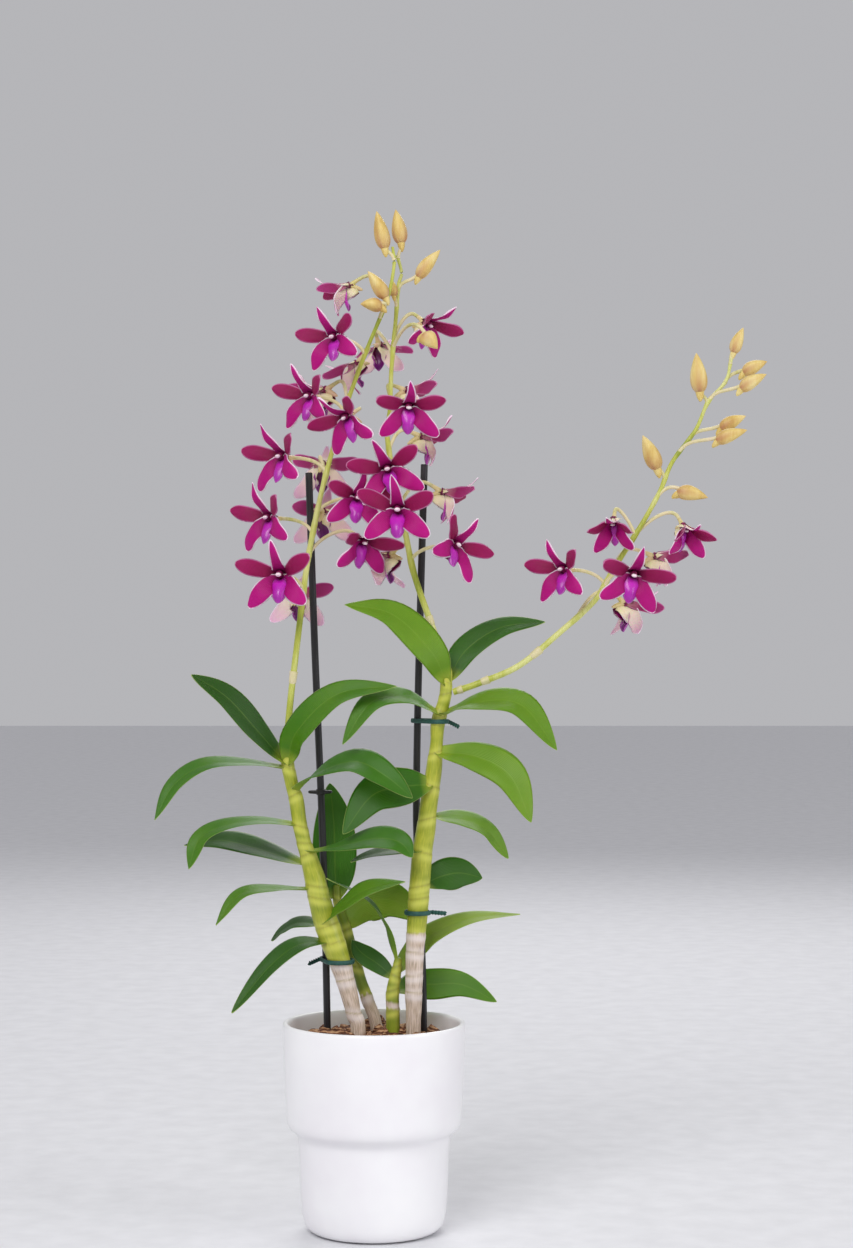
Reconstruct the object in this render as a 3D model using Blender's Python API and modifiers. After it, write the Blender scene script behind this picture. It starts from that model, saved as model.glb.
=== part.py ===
# Potted dendrobium orchid, 71 cm tall, modelled at its real size.
# Units are metres, +Z is up, +X is to the right of the front view, and the front looks along +Y.
# The origin is the centre of the pot's flat underside. Sizes below are written in millimetres
# and multiplied by MM, so that they can be read off a ruler.

import math
import random

import bmesh
import bpy
from mathutils import Matrix, Vector

MM = 0.001
GAP = 0.3 * MM                      # air between two pieces that touch

# Pot: a two-step straight pot, wider above its shoulder, with a well rounded foot
POT_HEIGHT = 145 * MM
POT_RIM_RADIUS = 63.5 * MM
POT_SHOULDER_RADIUS = 60.6 * MM     # just above the step
POT_WAIST_RADIUS = 52.3 * MM        # just below the step
POT_FOOT_RADIUS = 39 * MM           # edge of the flat underside
POT_SHOULDER_Z = 74 * MM
POT_WAIST_Z = 58 * MM
POT_WALL = 4 * MM
POT_FLOOR = 5 * MM
POT_SIDES = 32

# Bark: the filling, with loose chips on top
BARK_TOP_Z = 128 * MM
BARK_CHIPS = 16
CHIP_SIZE = (17 * MM, 10 * MM, 6 * MM)
CHIP_FIELD_RADIUS = 44 * MM         # chips lie inside this circle, clear of the pot's wall
CHIP_SPACING = 7.5 * MM             # least distance between the middles of two chips
CHIP_TO_STAKE = 9.4 * MM            # least distance from a chip's middle to a stake's
CHIP_TO_CANE = 13 * MM
HOLE_PLAY = 0.6 * MM                # a hole's radius less that of the stem that stands in it

# Blades
LEAF_THICKNESS = 1.0 * MM
TEPAL_THICKNESS = 0.8 * MM
LEAF_ROWS = 7
LEAF_FOLD = 14                      # degrees that each half rises from the midrib
TEPAL_ROWS = 3

# Sprays
PEDICEL_RADIUS = 1.15 * MM
BLOOM_DROP = 10 * MM                # a bloom's stalk leaves its stem this far below the throat
BUD_DROP = 9 * MM
BUD_SPUR = (0.8, 0.36, 0.10)        # a bud's spur: length and radius at each end, in bud diameters
BLOOM_NECK = 9.5 * MM               # from a bloom's throat back to where its stalk meets it
THROAT_RADIUS = 3.4 * MM
LIP_WIDTH = 12.5 * MM
LIP_FOLD = 34                       # degrees that each half of the scoop rises
TEPAL_ROOT_ANGLE = math.radians(27)
# Petals and sepals round the throat, clockwise from the top sepal: angle in degrees, length,
# width, how far the middle arches forward, how far the whole lies in front, and how many
# degrees it leans forward
TEPALS = [
    (0, 28 * MM, 9.5 * MM, 3.0 * MM, -0.8 * MM, 36),
    (70, 31 * MM, 11 * MM, 2.0 * MM, 0.8 * MM, 24),
    (134, 30 * MM, 12 * MM, 3.5 * MM, -0.8 * MM, 20),
    (226, 30 * MM, 12 * MM, 3.5 * MM, -0.8 * MM, 20),
    (290, 31 * MM, 11 * MM, 2.0 * MM, 0.8 * MM, 24),
]

# Stakes, clips and ties
STAKE_RADIUS = 2.4 * MM
TIE_RADIUS = 1.1 * MM
TIE_PLAY = 0.75 * MM                # air between a tie and what it goes round
CLIP_EDGE = 0.5 * MM                # width of the chamfer along a clip's edges
CLIP_PLAY = 0.4 * MM

# Canes: stations (x, y, z, diameter) in mm, from the foot inside the bark to the top
CANE_LEFT = [
    (-10, 0, 64, 10), (-11, 0, 136, 10.4), (-14, 0, 150, 10.6), (-18, 0, 167, 12.2),
    (-23, 0, 184, 14.6), (-29, -1, 202, 16.9), (-34, -1, 216, 16.7), (-38, -1, 230, 15.2),
    (-41, -1, 244, 14.8), (-45, -1, 258, 11.8), (-49, -1, 271, 9.9), (-52, -1, 285, 10.3),
    (-54, -1, 299, 10), (-57, -1, 310, 9.2), (-60, -1, 324, 9), (-60.6, -1, 337, 8.2),
]
CANE_RIGHT = [
    (27, 0, 64, 10), (27.4, 0, 139, 10.3), (27.6, 0, 153, 11), (27.6, 0, 167, 11.8),
    (28.5, 0, 195, 12.6), (29.3, 0, 206, 13.4), (31, 0, 230, 14.3), (32, 0, 244, 14.3),
    (33.7, 0, 264, 13.9), (36, 0, 278, 13.2), (37.5, 0, 292, 12.2), (39.6, 0, 306, 11.6),
    (41.7, 0, 320, 11.1), (43.4, 0, 338, 9), (44.8, 0, 355, 9.6), (49, 0, 369, 8.4),
    (50.4, 0, 383, 8.2), (50.2, 0, 392, 7.6),
]
CANE_BACK = [
    (4, 21, 64, 9), (2, 22, 132, 8.6), (-5, 22, 157, 8.6), (-10, 22, 171, 8.4),
    (-17, 22, 195, 8), (-21, 22, 210, 7.4), (-26, 23, 225, 6.4), (-27, 24, 238, 5),
]
NEW_SHOOT = [
    (12, 5, 64, 8), (13, 5, 135, 9.6), (13, 5, 152, 9.4), (13, 5, 166, 9), (15, 5, 177, 7.4),
    (17, 5, 189, 5),
]

# Leaves: midrib points in mm from the sheath on the cane to the tip, full width in mm,
# and how far the upper face turns to the front at the sheath and at the tip, in degrees
LEAVES_LEFT = [
    ([(-61, -2, 324), (-80, -12, 347), (-101, -20, 371), (-125, -26, 387)], 22, 35, 48),
    ([(-60, -1, 321), (-86, -8, 325), (-116, -14, 324), (-137, -20, 311), (-150, -26, 287)], 20, 14, 26),
    ([(-52, -1, 281), (-77, -8, 285), (-103, -14, 282), (-120, -18, 273), (-127, -22, 253)], 20, 14, 24),
    ([(-46, 0, 253), (-79, 14, 263), (-108, 22, 269), (-135, 30, 265)], 22, 26, 34),
    ([(-41, -1, 237), (-68, -10, 238), (-92, -18, 235), (-108, -26, 215)], 18, 8, 16),
    ([(-34, 1, 211), (-52, 14, 212), (-63, 20, 207), (-73, 26, 198)], 18, 24, 30),
    ([(-30, -2, 200), (-51, -12, 200), (-71, -20, 186), (-97, -28, 155)], 21, 14, 24),
    ([(-60, -3, 325), (-53, -15, 347), (-25, -22, 373), (16, -26, 379)], 24, 50, 40),
    ([(-55, -2, 304), (-40, -14, 318), (-13, -24, 327), (8, -32, 318), (27, -37, 303)], 25, 4, 66),
    ([(-48, -2, 262), (-23, -14, 268), (1, -22, 274), (18, -28, 272), (27, -31, 262)], 23, 8, 60),
    ([(-37, -3, 212), (-20, -14, 228), (-4, -21, 239), (22, -27, 245)], 21, 30, 30),
]
LEAVES_RIGHT = [
    ([(50, -2, 381), (40, -13, 402), (13, -16, 428), (-20, -20, 435)], 24, 62, 50),
    ([(46, -2, 360), (22, -14, 371), (-2, -22, 367), (-21, -28, 339)], 21, 28, 36),
    ([(40, -3, 310), (22, -8, 309), (-1, -13, 303), (-21, -20, 277)], 28, 60, 78),
    ([(34, -3, 263), (17, -8, 265), (-1, -10, 262), (-16, -12, 257)], 20, 20, 10),
    ([(51, 1, 381), (64, 9, 403), (89, 15, 419), (120, 20, 423)], 22, 48, 36),
    ([(47, -2, 358), (69, -15, 367), (101, -21, 366), (126, -26, 335)], 25, 15, 56),
    ([(43, -1, 332), (70, -12, 330), (94, -24, 317), (108, -34, 286)], 26, 46, 62),
    ([(38, 0, 287), (60, 8, 285), (79, 12, 277), (94, 16, 257)], 21, 26, 36),
    ([(33, 3, 239), (46, 17, 244), (60, 25, 246), (76, 31, 242)], 23, 74, 78),
]
LEAVES_BACK = [
    ([(-27, 24, 228), (-28, 26, 248), (-29, 29, 280), (-32, 33, 309)], 30, 86, 88),
    ([(-21, 24, 207), (-9, 31, 222), (11, 35, 226), (35, 38, 211)], 28, 72, 76),
]
LEAVES_SHOOT = [
    ([(16, 5, 184), (8, 0, 212), (-6, -2, 231), (-33, -4, 245)], 13, 2, 6),
    ([(14, 7, 174), (3, 12, 183), (-9, 14, 191), (-16, 15, 200)], 15, 52, 66),
    ([(15, 7, 176), (26, 24, 189), (40, 30, 202), (68, 32, 213), (103, 34, 216)], 20, 34, 26),
    ([(14, 7, 164), (26, 24, 166), (41, 28, 167), (62, 25, 167), (86, 18, 156)], 22, 60, 74),
]

# Flower stems, from the cane to the tip, as points in mm, with the radius at each end
STEM_LEFT = [
    (-60.8, -1, 337.3), (-58, -2, 369), (-53, -3, 411), (-47, -4, 459), (-42, -4, 487), (-36, -4, 515),
    (-28, -4, 545), (-18, -4, 577), (-5, -5, 612), (9, -7, 646), (14, -8, 670), (13, -8, 683),
]
STEM_CENTRE = [
    (50.1, 0, 393.3), (39, 0, 424), (28, 2, 456), (22, 3, 484), (14, 4, 522), (9, 5, 554), (11, 5, 571),
    (12, 6, 599), (15, 6, 634), (17, 6, 658), (19, 6, 667), (16, 6, 679),
]
STEM_RIGHT = [
    (55.3, 0, 374.4), (74, -3, 381), (101, -6, 393), (129, -8, 416), (153, -9, 438), (165, -9, 458),
    (184, -8, 488), (198, -7, 513), (207, -6, 534), (223, -6, 556), (232, -6, 576), (244, -6, 590),
    (248, -6, 606),
]
STEM_FOOT_RADIUS = 2.4 * MM
STEM_TIP_RADIUS = 1.0 * MM

# Blooms: throat (x, y, z) in mm, the way it faces (0 is the front, positive to the right),
# how far it looks up, its roll, all in degrees, its size and how far its tepals stand open
BLOOMS_LEFT = [
    ((-18, 6, 658), -95, -30, 0, 0.85, 0.55),
    ((-26, -17, 619), -32, 0, 12, 0.95, 1.0),
    ((-43, -9, 579), -42, 0, 10, 0.95, 1.0),
    ((-17, -32, 564), -38, -25, 24, 0.95, 1.0),
    ((-62, -12, 537), -46, 0, 12, 1.0, 1.0),
    ((-71, -8, 495), -44, 0, 12, 1.0, 1.0),
    ((-63, -30, 455), -15, 0, 3, 1.05, 1.0),
    ((-55, 26, 442), 172, -10, 0, 0.95, 1.0),
    ((-12, -10, 509), 15, -4, -10, 0.95, 1.0),
    ((-37, 22, 534), 175, -20, 0, 1.0, 1.0),
    ((-37, 24, 501), 172, -12, 0, 1.0, 1.0),
    ((-9, 7, 480), 30, -26, -8, 0.95, 0.9),
    ((-13, 19, 605), -110, -45, 0, 0.85, 0.55),
    ((-35, 18, 586), -125, -25, 0, 0.95, 0.9),
]
BLOOMS_CENTRE = [
    ((36, 6, 632), 52, -34, -12, 0.9, 1.0),
    ((24, -31, 571), 6, -22, 0, 0.95, 1.0),
    ((10, -20, 528), -4, -2, 18, 1.0, 1.0),
    ((17, -39, 499), -3, 0, 2, 1.05, 1.0),
    ((55, -12, 476), 42, 0, -32, 0.95, 1.0),
    ((48, 10, 514), 96, -30, 0, 0.95, 0.9),
    ((34, 13, 551), 98, -20, 0, 0.95, 0.9),
    ((23, 18, 586), 98, -18, 0, 0.95, 0.9),
    ((3, 30, 619), 165, -40, 0, 0.9, 0.9),
    ((10, 22, 470), -122, -35, 0, 0.95, 0.9),
]
BLOOMS_RIGHT = [
    ((165, -22, 493), -12, -42, 0, 0.85, 0.55),
    ((214, -14, 489), 24, -42, 0, 0.85, 0.55),
    ((132, -18, 459), -42, 0, 12, 0.95, 1.0),
    ((177, -36, 456), 8, -18, -8, 1.0, 1.0),
    ((197, 14, 469), 98, -20, 0, 0.95, 0.9),
    ((176, 12, 436), 118, -36, 0, 0.95, 0.9),
]

# Buds: foot and tip in mm, and the greatest diameter
BUDS_LEFT = [
    ((8, -10, 683), (2, -12, 707), 10), ((9, -12, 649), (-4, -16, 665), 9.5),
    ((6, -16, 643), (-9, -19, 642), 9),
]
BUDS_CENTRE = [
    ((19, 6, 689), (15, 6, 711), 10), ((30, 4, 665), (46, 0, 682), 9),
    ((14, 2, 651), (12, 2, 662), 6), ((34, -19, 624), (44, -21, 611), 11),
]
BUDS_RIGHT = [
    ((249, -6, 611), (256, -8, 627), 8), ((256, -2, 598), (273, -4, 604), 9),
    ((253, -12, 586), (271, -16, 594), 9), ((226, -8, 584), (223, -12, 609), 11),
    ((240, -4, 559), (258, -6, 566), 9), ((236, -16, 550), (257, -22, 555), 9),
    ((197, -8, 531), (186, -12, 552), 11), ((210, -8, 516), (231, -12, 509), 10),
]

# Stakes, as points in mm
STAKE_LEFT = [(-33, 15, 64), (-33, 14, 134), (-36, 13, 263), (-42, 13, 410), (-46, 13, 528)]
STAKE_RIGHT = [
    (34.5, 14, 64), (34.5, 14, 134), (33.5, 14, 186), (30, 14, 263), (29.5, 14, 305), (31, 14, 389),
    (35, 14, 534),
]


def start_collection(name):
    """Make a collection and link it to the scene."""
    group = bpy.data.collections.new(name)
    bpy.context.scene.collection.children.link(group)
    return group


def make_material(name, colour, roughness):
    """Give back a Principled material."""
    material = bpy.data.materials.new(name)
    material.use_nodes = True
    shader = material.node_tree.nodes["Principled BSDF"]
    shader.inputs["Base Color"].default_value = (*colour, 1.0)
    shader.inputs["Roughness"].default_value = roughness
    return material


def place(points):
    """Turn points in mm into vectors in metres."""
    return [Vector(p[:3]) * MM for p in points]


def along(points, share):
    """Find the point at a share, 0 to 1, of a smooth line through the points."""
    last = len(points) - 1
    spot = min(max(share, 0.0), 1.0) * last
    k = min(int(spot), last - 1)
    t = spot - k
    p1, p2 = points[k], points[k + 1]
    p0 = points[k - 1] if k else p1 * 2 - p2
    p3 = points[k + 2] if k + 2 <= last else p2 * 2 - p1
    bend = (p0 * 2 - p1 * 5 + p2 * 4 - p3) * t * t + (p1 * 3 - p0 - p2 * 3 + p3) * t * t * t
    return (p1 * 2 + (p2 - p0) * t + bend) * 0.5


def at_height(points, z):
    """Find the share along a rising line where it reaches a height."""
    low, high = 0.0, 1.0
    for _ in range(24):
        middle = (low + high) / 2
        if along(points, middle).z < z:
            low = middle
        else:
            high = middle
    return low


def new_object(name, mesh, material=None):
    """Link a mesh as an object of the part."""
    thing = bpy.data.objects.new(name, mesh)
    parts.objects.link(thing)
    if material:
        thing.data.materials.append(material)
    return thing


def finished_mesh(thing, name, weld, flat):
    """Read an object with its modifiers as a mesh; welding closes a curve's loose caps.

    Faces that bend by less than the flat angle, in degrees, are first made one.
    """
    bpy.context.view_layer.update()
    graph = bpy.context.evaluated_depsgraph_get()
    mesh = bpy.data.meshes.new_from_object(thing.evaluated_get(graph))
    mesh.name = name
    work = bmesh.new()
    work.from_mesh(mesh)
    bmesh.ops.remove_doubles(work, verts=work.verts, dist=weld)
    bmesh.ops.dissolve_limit(work, angle_limit=math.radians(flat), verts=work.verts, edges=work.edges)
    bmesh.ops.triangulate(work, faces=work.faces)
    work.to_mesh(mesh)
    work.free()
    return mesh


def as_mesh(thing):
    """Swap a curve or an object with modifiers for its finished mesh."""
    name = thing.name
    mesh = finished_mesh(thing, name, 0.02 * MM, 0.1)
    place_in_world = thing.matrix_world.copy()
    bpy.data.objects.remove(thing)
    solid = bpy.data.objects.new(name, mesh)
    solid.matrix_world = place_in_world
    parts.objects.link(solid)
    return solid


def tube(name, points, radii, ring):
    """Make a tube with round ends closed flat, along points, with a radius at each of them."""
    path = bpy.data.curves.new(name, "CURVE")
    path.dimensions = "3D"
    path.bevel_depth = 1.0
    path.bevel_resolution = ring
    path.use_fill_caps = True
    line = path.splines.new("POLY")
    line.points.add(len(points) - 1)
    for spot, p, r in zip(line.points, points, radii):
        spot.co = (*p, 1.0)
        spot.radius = r
    thing = bpy.data.objects.new(name, path)
    parts.objects.link(thing)
    return as_mesh(thing)


def fuse(name, things, material, flat=1.5):
    """Join things into one body; faces that bend less than the flat angle, in degrees, become one."""
    body = things[0]
    body.name = name
    body.data.name = name
    rest = bpy.data.collections.new(name + " repeats")
    for thing in things[1:]:
        parts.objects.unlink(thing)
        rest.objects.link(thing)
    joint = body.modifiers.new("join", "BOOLEAN")
    joint.operation = "UNION"
    joint.operand_type = "COLLECTION"
    joint.collection = rest
    joint.solver = "MANIFOLD"
    mesh = finished_mesh(body, name, 0.005 * MM, flat)
    for thing in list(rest.objects) + [body]:
        bpy.data.objects.remove(thing)
    bpy.data.collections.remove(rest)
    joined = new_object(name, mesh)
    joined.data.materials.clear()
    joined.data.materials.append(material)
    return joined


def blade(name, spine, width, face, outline, fold, thickness, rows, columns):
    """Make a leaf-like blade along a spine; face(share) points out of its upper side."""
    crowd = 0.87                    # rows stand a little closer towards the tip
    work = bmesh.new()
    bmesh.ops.create_grid(work, x_segments=columns, y_segments=rows, size=1.0)
    step = 0.5 / rows
    for corner in work.verts:
        across = corner.co.x
        share = ((corner.co.y + 1) / 2) ** crowd
        here = along(spine, share)
        run = (along(spine, share + step) - along(spine, share - step)).normalized()
        normal = face(share)
        normal = (normal - run * normal.dot(run)).normalized()
        side = normal.cross(run)
        half = width / 2 * outline(share)
        lift = math.radians(fold)
        out = side * across * math.cos(lift) + normal * abs(across) * math.sin(lift)
        corner.co = here + out * half
    bmesh.ops.remove_doubles(work, verts=work.verts, dist=0.00005)
    bmesh.ops.triangulate(work, faces=work.faces)
    mesh = bpy.data.meshes.new(name)
    work.to_mesh(mesh)
    work.free()
    thing = new_object(name, mesh)
    wall = thing.modifiers.new("wall", "SOLIDIFY")
    wall.thickness = thickness
    wall.offset = 0.0
    return as_mesh(thing)


def leaf_outline(share):
    """Half width of a leaf as a share of its widest, narrow at the sheath and pointed at the tip."""
    return 0.30 * (1 - share) ** 2 + 0.97 * max(math.sin(math.pi * share ** 0.95), 0.0) ** 0.72


def tepal_outline(share):
    """Half width of a petal or sepal, widest past its middle."""
    return 0.28 * (1 - share) ** 2 + 0.98 * max(math.sin(math.pi * share ** 1.2), 0.0) ** 0.8


def lip_outline(share):
    """Half width of the lip, which spreads into a rounded front lobe."""
    return 0.55 * (1 - share) + 0.9 * max(math.sin(math.pi * share ** 1.3), 0.0) ** 0.7


def lip_face(share):
    """Tell which way the inside of the lip's scoop looks: up at its root, and forward towards its tip."""
    return Vector((0, 1, 0.8 * share))


def leaf(name, points, width, turn_foot, turn_tip):
    """Make one leaf with a folded midrib."""
    def face(share):
        turn = math.radians(turn_foot + (turn_tip - turn_foot) * share)
        return Vector((0, -math.sin(turn), math.cos(turn)))

    return blade(name, place(points), width * MM, face, leaf_outline, LEAF_FOLD, LEAF_THICKNESS, LEAF_ROWS, 2)


def cane(name, stations, leaves, material):
    """Make a jointed cane and fuse its leaves into it."""
    points = place(stations)
    radii = [s[3] / 2 * MM for s in stations]
    things = [tube(name, points, radii, 3)]
    for number, row in enumerate(leaves):
        things.append(leaf(f"{name} leaf {number}", *row))
    return fuse(name, things, material, 0.5)


def tepal_spine(angle, length, arch, layer, lean, open_share):
    """Work out the middle line of a petal or sepal that leaves the throat at an angle from straight up."""
    outward = Vector((math.sin(angle), math.cos(angle), 0))
    forward = Vector((0, 0, 1))
    swing = math.radians(90 - 82 * open_share + lean * open_share ** 2)
    lie = outward * math.cos(swing) + forward * math.sin(swing)
    rise = forward * math.cos(swing) - outward * math.sin(swing)
    return [
        outward * THROAT_RADIUS,
        outward * THROAT_RADIUS * 0.6 + lie * length * 0.3 + rise * arch * 0.8 + forward * layer,
        outward * THROAT_RADIUS * 0.4 + lie * length * 0.66 + rise * arch * 0.7 + forward * layer,
        lie * length - rise * arch * 0.4 + forward * layer,
    ]


def star(name, open_share):
    """Make the five petals and sepals as one thin sheet that starts as a small disc round the throat."""
    work = bmesh.new()
    bmesh.ops.create_circle(work, cap_ends=True, segments=2 * len(TEPALS), radius=THROAT_RADIUS)
    work.verts.ensure_lookup_table()
    ring = list(work.verts)
    for k, (angle, length, width, arch, layer, lean) in enumerate(TEPALS):
        angle = math.radians(angle)
        spine = tepal_spine(angle, length, arch, layer, lean, open_share)
        side = Vector((math.cos(angle), -math.sin(angle), 0))
        pair = [ring[2 * k], ring[2 * k + 1]]
        for corner, sign in zip(pair, (-1, 1)):
            turn = angle + sign * TEPAL_ROOT_ANGLE
            corner.co = Vector((math.sin(turn), math.cos(turn), 0)) * THROAT_RADIUS
        for row in range(1, TEPAL_ROWS + 1):
            share = (row / TEPAL_ROWS) ** 0.87
            edge = work.edges.get(pair)
            made = bmesh.ops.extrude_edge_only(work, edges=[edge])["geom"]
            fresh = [g for g in made if isinstance(g, bmesh.types.BMVert)]
            fresh.sort(key=lambda v: (v.co - pair[0].co).length)
            half = width / 2 * tepal_outline(share)
            for corner, sign in zip(fresh, (-1, 1)):
                corner.co = along(spine, share) + side * sign * half
            pair = fresh
    bmesh.ops.remove_doubles(work, verts=work.verts, dist=0.05 * MM)
    bmesh.ops.triangulate(work, faces=work.faces)
    bmesh.ops.recalc_face_normals(work, faces=work.faces)
    mesh = bpy.data.meshes.new(name)
    work.to_mesh(mesh)
    work.free()
    thing = new_object(name, mesh)
    wall = thing.modifiers.new("wall", "SOLIDIFY")
    wall.thickness = TEPAL_THICKNESS
    wall.offset = 0.0
    return as_mesh(thing)


def bloom_mesh(open_share):
    """Make one bloom that looks along +Z with its top sepal at +Y, and give back its mesh."""
    throat = [Vector((0, 0, -BLOOM_NECK)), Vector((0, 0, -1.5 * MM)), Vector((0, 0, 3.2 * MM))]
    things = [tube("throat", throat, [1.5 * MM, 3.2 * MM, 2.2 * MM], 0)]
    chin = [Vector((0, -1.0, -1.5)) * MM, Vector((0, -9.0, -8.0)) * MM]
    things.append(tube("chin", chin, [3.5 * MM, 1.2 * MM], 0))
    things.append(star("star", open_share))
    spine = place([(0, -1.5, 1), (0, -4.5, 7), (0, -9, 11.5), (0, -16, 13)])
    things.append(blade("lip", spine, LIP_WIDTH, lip_face, lip_outline, LIP_FOLD, TEPAL_THICKNESS, 3, 2))
    bloom = fuse("bloom", things, tepal_purple)
    mesh = bloom.data
    bpy.data.objects.remove(bloom)
    return mesh


def facing(throat, turn, look_up, roll, size):
    """Work out where a bloom stands: its +Z looks at the given way and its +Y is up."""
    turn, look_up, roll = (math.radians(a) for a in (turn, look_up, roll))
    level = Vector((math.sin(turn), -math.cos(turn), 0))
    look = level * math.cos(look_up) + Vector((0, 0, math.sin(look_up)))
    right = Vector((0, 0, 1)).cross(look).normalized()
    up = look.cross(right)
    axes = Matrix((right, up, look)).transposed()
    axes = axes @ Matrix.Rotation(roll, 3, "Z")
    return Matrix.Translation(Vector(throat) * MM) @ (axes * size).to_4x4()


def stalk(name, start, end, arrive):
    """Make a thin stalk that leaves the middle of a flower stem rising and meets a bloom or bud head on."""
    meet = end - arrive * 2 * MM
    reach = (meet - start).length
    out = (meet - start).normalized() * 0.5 + Vector((0, 0, 0.55))
    first = start + out * reach * 0.45
    second = meet - arrive * reach * 0.4
    points = []
    for k in range(3):
        t = k / 2
        points.append(start * (1 - t) ** 3 + first * 3 * t * (1 - t) ** 2
                      + second * 3 * t * t * (1 - t) + meet * t ** 3)
    points.append(end)
    return tube(name, points, [PEDICEL_RADIUS] * 4, 0)


def bud(name, foot, tip, diameter):
    """Make a pointed bud with a small chin at its foot."""
    work = bmesh.new()
    bmesh.ops.create_uvsphere(work, u_segments=6, v_segments=4, radius=1.0)
    axis = tip - foot
    length = axis.length
    turn = axis.to_track_quat("Z", "Y").to_matrix()
    for corner in work.verts:
        share = (corner.co.z + 1) / 2
        wide = diameter / 2 * (1.12 - 0.42 * share)
        drop = 0.22 * diameter * (1 - share) ** 2
        spot = Vector((corner.co.x * wide, corner.co.y * wide, share * length))
        corner.co = foot + turn @ spot - Vector((0, 0, drop))
    mesh = bpy.data.meshes.new(name)
    work.to_mesh(mesh)
    work.free()
    return new_object(name, mesh)


def bud_chin(name, foot, tip, diameter):
    """Make the blunt spur that points down and back from a bud's foot."""
    axis = tip - foot
    back = (Vector((0, 0, -1)) - axis.normalized() * 0.5).normalized()
    length, root_radius, tip_radius = (share * diameter for share in BUD_SPUR)
    points = [foot + axis * 0.3, foot + axis * 0.06 + back * length]
    return tube(name, points, [root_radius, tip_radius], 0)


def spray(name, stem, blooms, buds):
    """Make a flower stem with its stalks and buds, and set its blooms on the stalks."""
    line = place(stem)
    count = len(line) + 5
    shares = [k / (count - 1) for k in range(count)]
    radii = [STEM_FOOT_RADIUS + (STEM_TIP_RADIUS - STEM_FOOT_RADIUS) * s for s in shares]
    things = [tube(name, [along(line, s) for s in shares], radii, 1)]
    top = line[-1].z - 2 * MM
    for number, (throat, turn, look_up, roll, size, open_share) in enumerate(blooms, 1):
        where = facing(throat, turn, look_up, roll, size)
        look = where.to_3x3() @ Vector((0, 0, 1))
        look.normalize()
        end = where @ Vector((0, 0, -BLOOM_NECK)) - look * GAP
        start = along(line, at_height(line, min(throat[2] * MM - BLOOM_DROP, top)))
        things.append(stalk(f"{name} stalk {number}", start, end, look))
        shape = bloom_shapes[open_share]
        flower = new_object(f"bloom_{name[6:]}_{number}", shape)
        flower.matrix_world = where
    for number, (foot, tip, diameter) in enumerate(buds, 1):
        foot = Vector(foot) * MM
        tip = Vector(tip) * MM
        start = along(line, at_height(line, min(foot.z - BUD_DROP, top)))
        arrive = (tip - foot).normalized()
        things.append(stalk(f"{name} bud stalk {number}", start, foot + arrive * 2 * MM, arrive))
        things.append(bud(f"{name} bud {number}", foot, tip, diameter * MM))
        things.append(bud_chin(f"{name} bud chin {number}", foot, tip, diameter * MM))
    return fuse(name, things, stem_green)


def arc(centre_r, centre_z, radius, start, stop, count):
    """Give points of a circle's arc in the (radius, height) plane."""
    points = []
    for k in range(count):
        a = math.radians(start + (stop - start) * k / (count - 1))
        points.append((centre_r + radius * math.cos(a), centre_z + radius * math.sin(a)))
    return points


def turned(name, profile, material):
    """Turn a profile of (radius, height) points into a closed body with a Screw modifier."""
    mesh = bpy.data.meshes.new(name)
    corners = [(r, 0, z) for r, z in profile]
    mesh.from_pydata(corners, [(k, k + 1) for k in range(len(corners) - 1)], [])
    thing = new_object(name, mesh, material)
    screw = thing.modifiers.new("turn", "SCREW")
    screw.steps = POT_SIDES
    screw.render_steps = POT_SIDES
    screw.use_merge_vertices = True
    screw.merge_threshold = 0.00001
    screw.use_smooth_shade = True
    return thing


def pot_outside():
    """Give the outer profile from the rim's edge down to the flat underside."""
    foot_round = 12 * MM
    return [
        (POT_RIM_RADIUS - 0.5 * MM, POT_HEIGHT - 2.2 * MM),
        (POT_RIM_RADIUS - 1.0 * MM, 108 * MM),
        (POT_SHOULDER_RADIUS + 0.3 * MM, POT_SHOULDER_Z + 6 * MM),
        (POT_SHOULDER_RADIUS - 1.6 * MM, POT_SHOULDER_Z - 1 * MM),
        (POT_WAIST_RADIUS + 1.6 * MM, POT_SHOULDER_Z - 8 * MM),
        (POT_WAIST_RADIUS, POT_WAIST_Z),
        (51 * MM, 24 * MM),
    ] + arc(POT_FOOT_RADIUS, foot_round, foot_round, -8, -90, 4)


def pot():
    """Make the glazed pot as one turned shell with a rounded lip."""
    outside = pot_outside()
    inside = [(r - POT_WALL, z) for r, z in outside[:6:2]] + [(48.2 * MM, 52 * MM), (46.5 * MM, 20 * MM)]
    floor_edge = [(40 * MM, POT_FLOOR)]
    lip = arc(POT_RIM_RADIUS - 2.4 * MM, POT_HEIGHT - 2 * MM, 2.0 * MM, 10, 170, 3)
    profile = [(0, POT_FLOOR)] + floor_edge[::-1] + inside[::-1] + lip[::-1] + outside + [(0, 0)]
    return turned("pot", profile, glaze_white)


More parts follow.
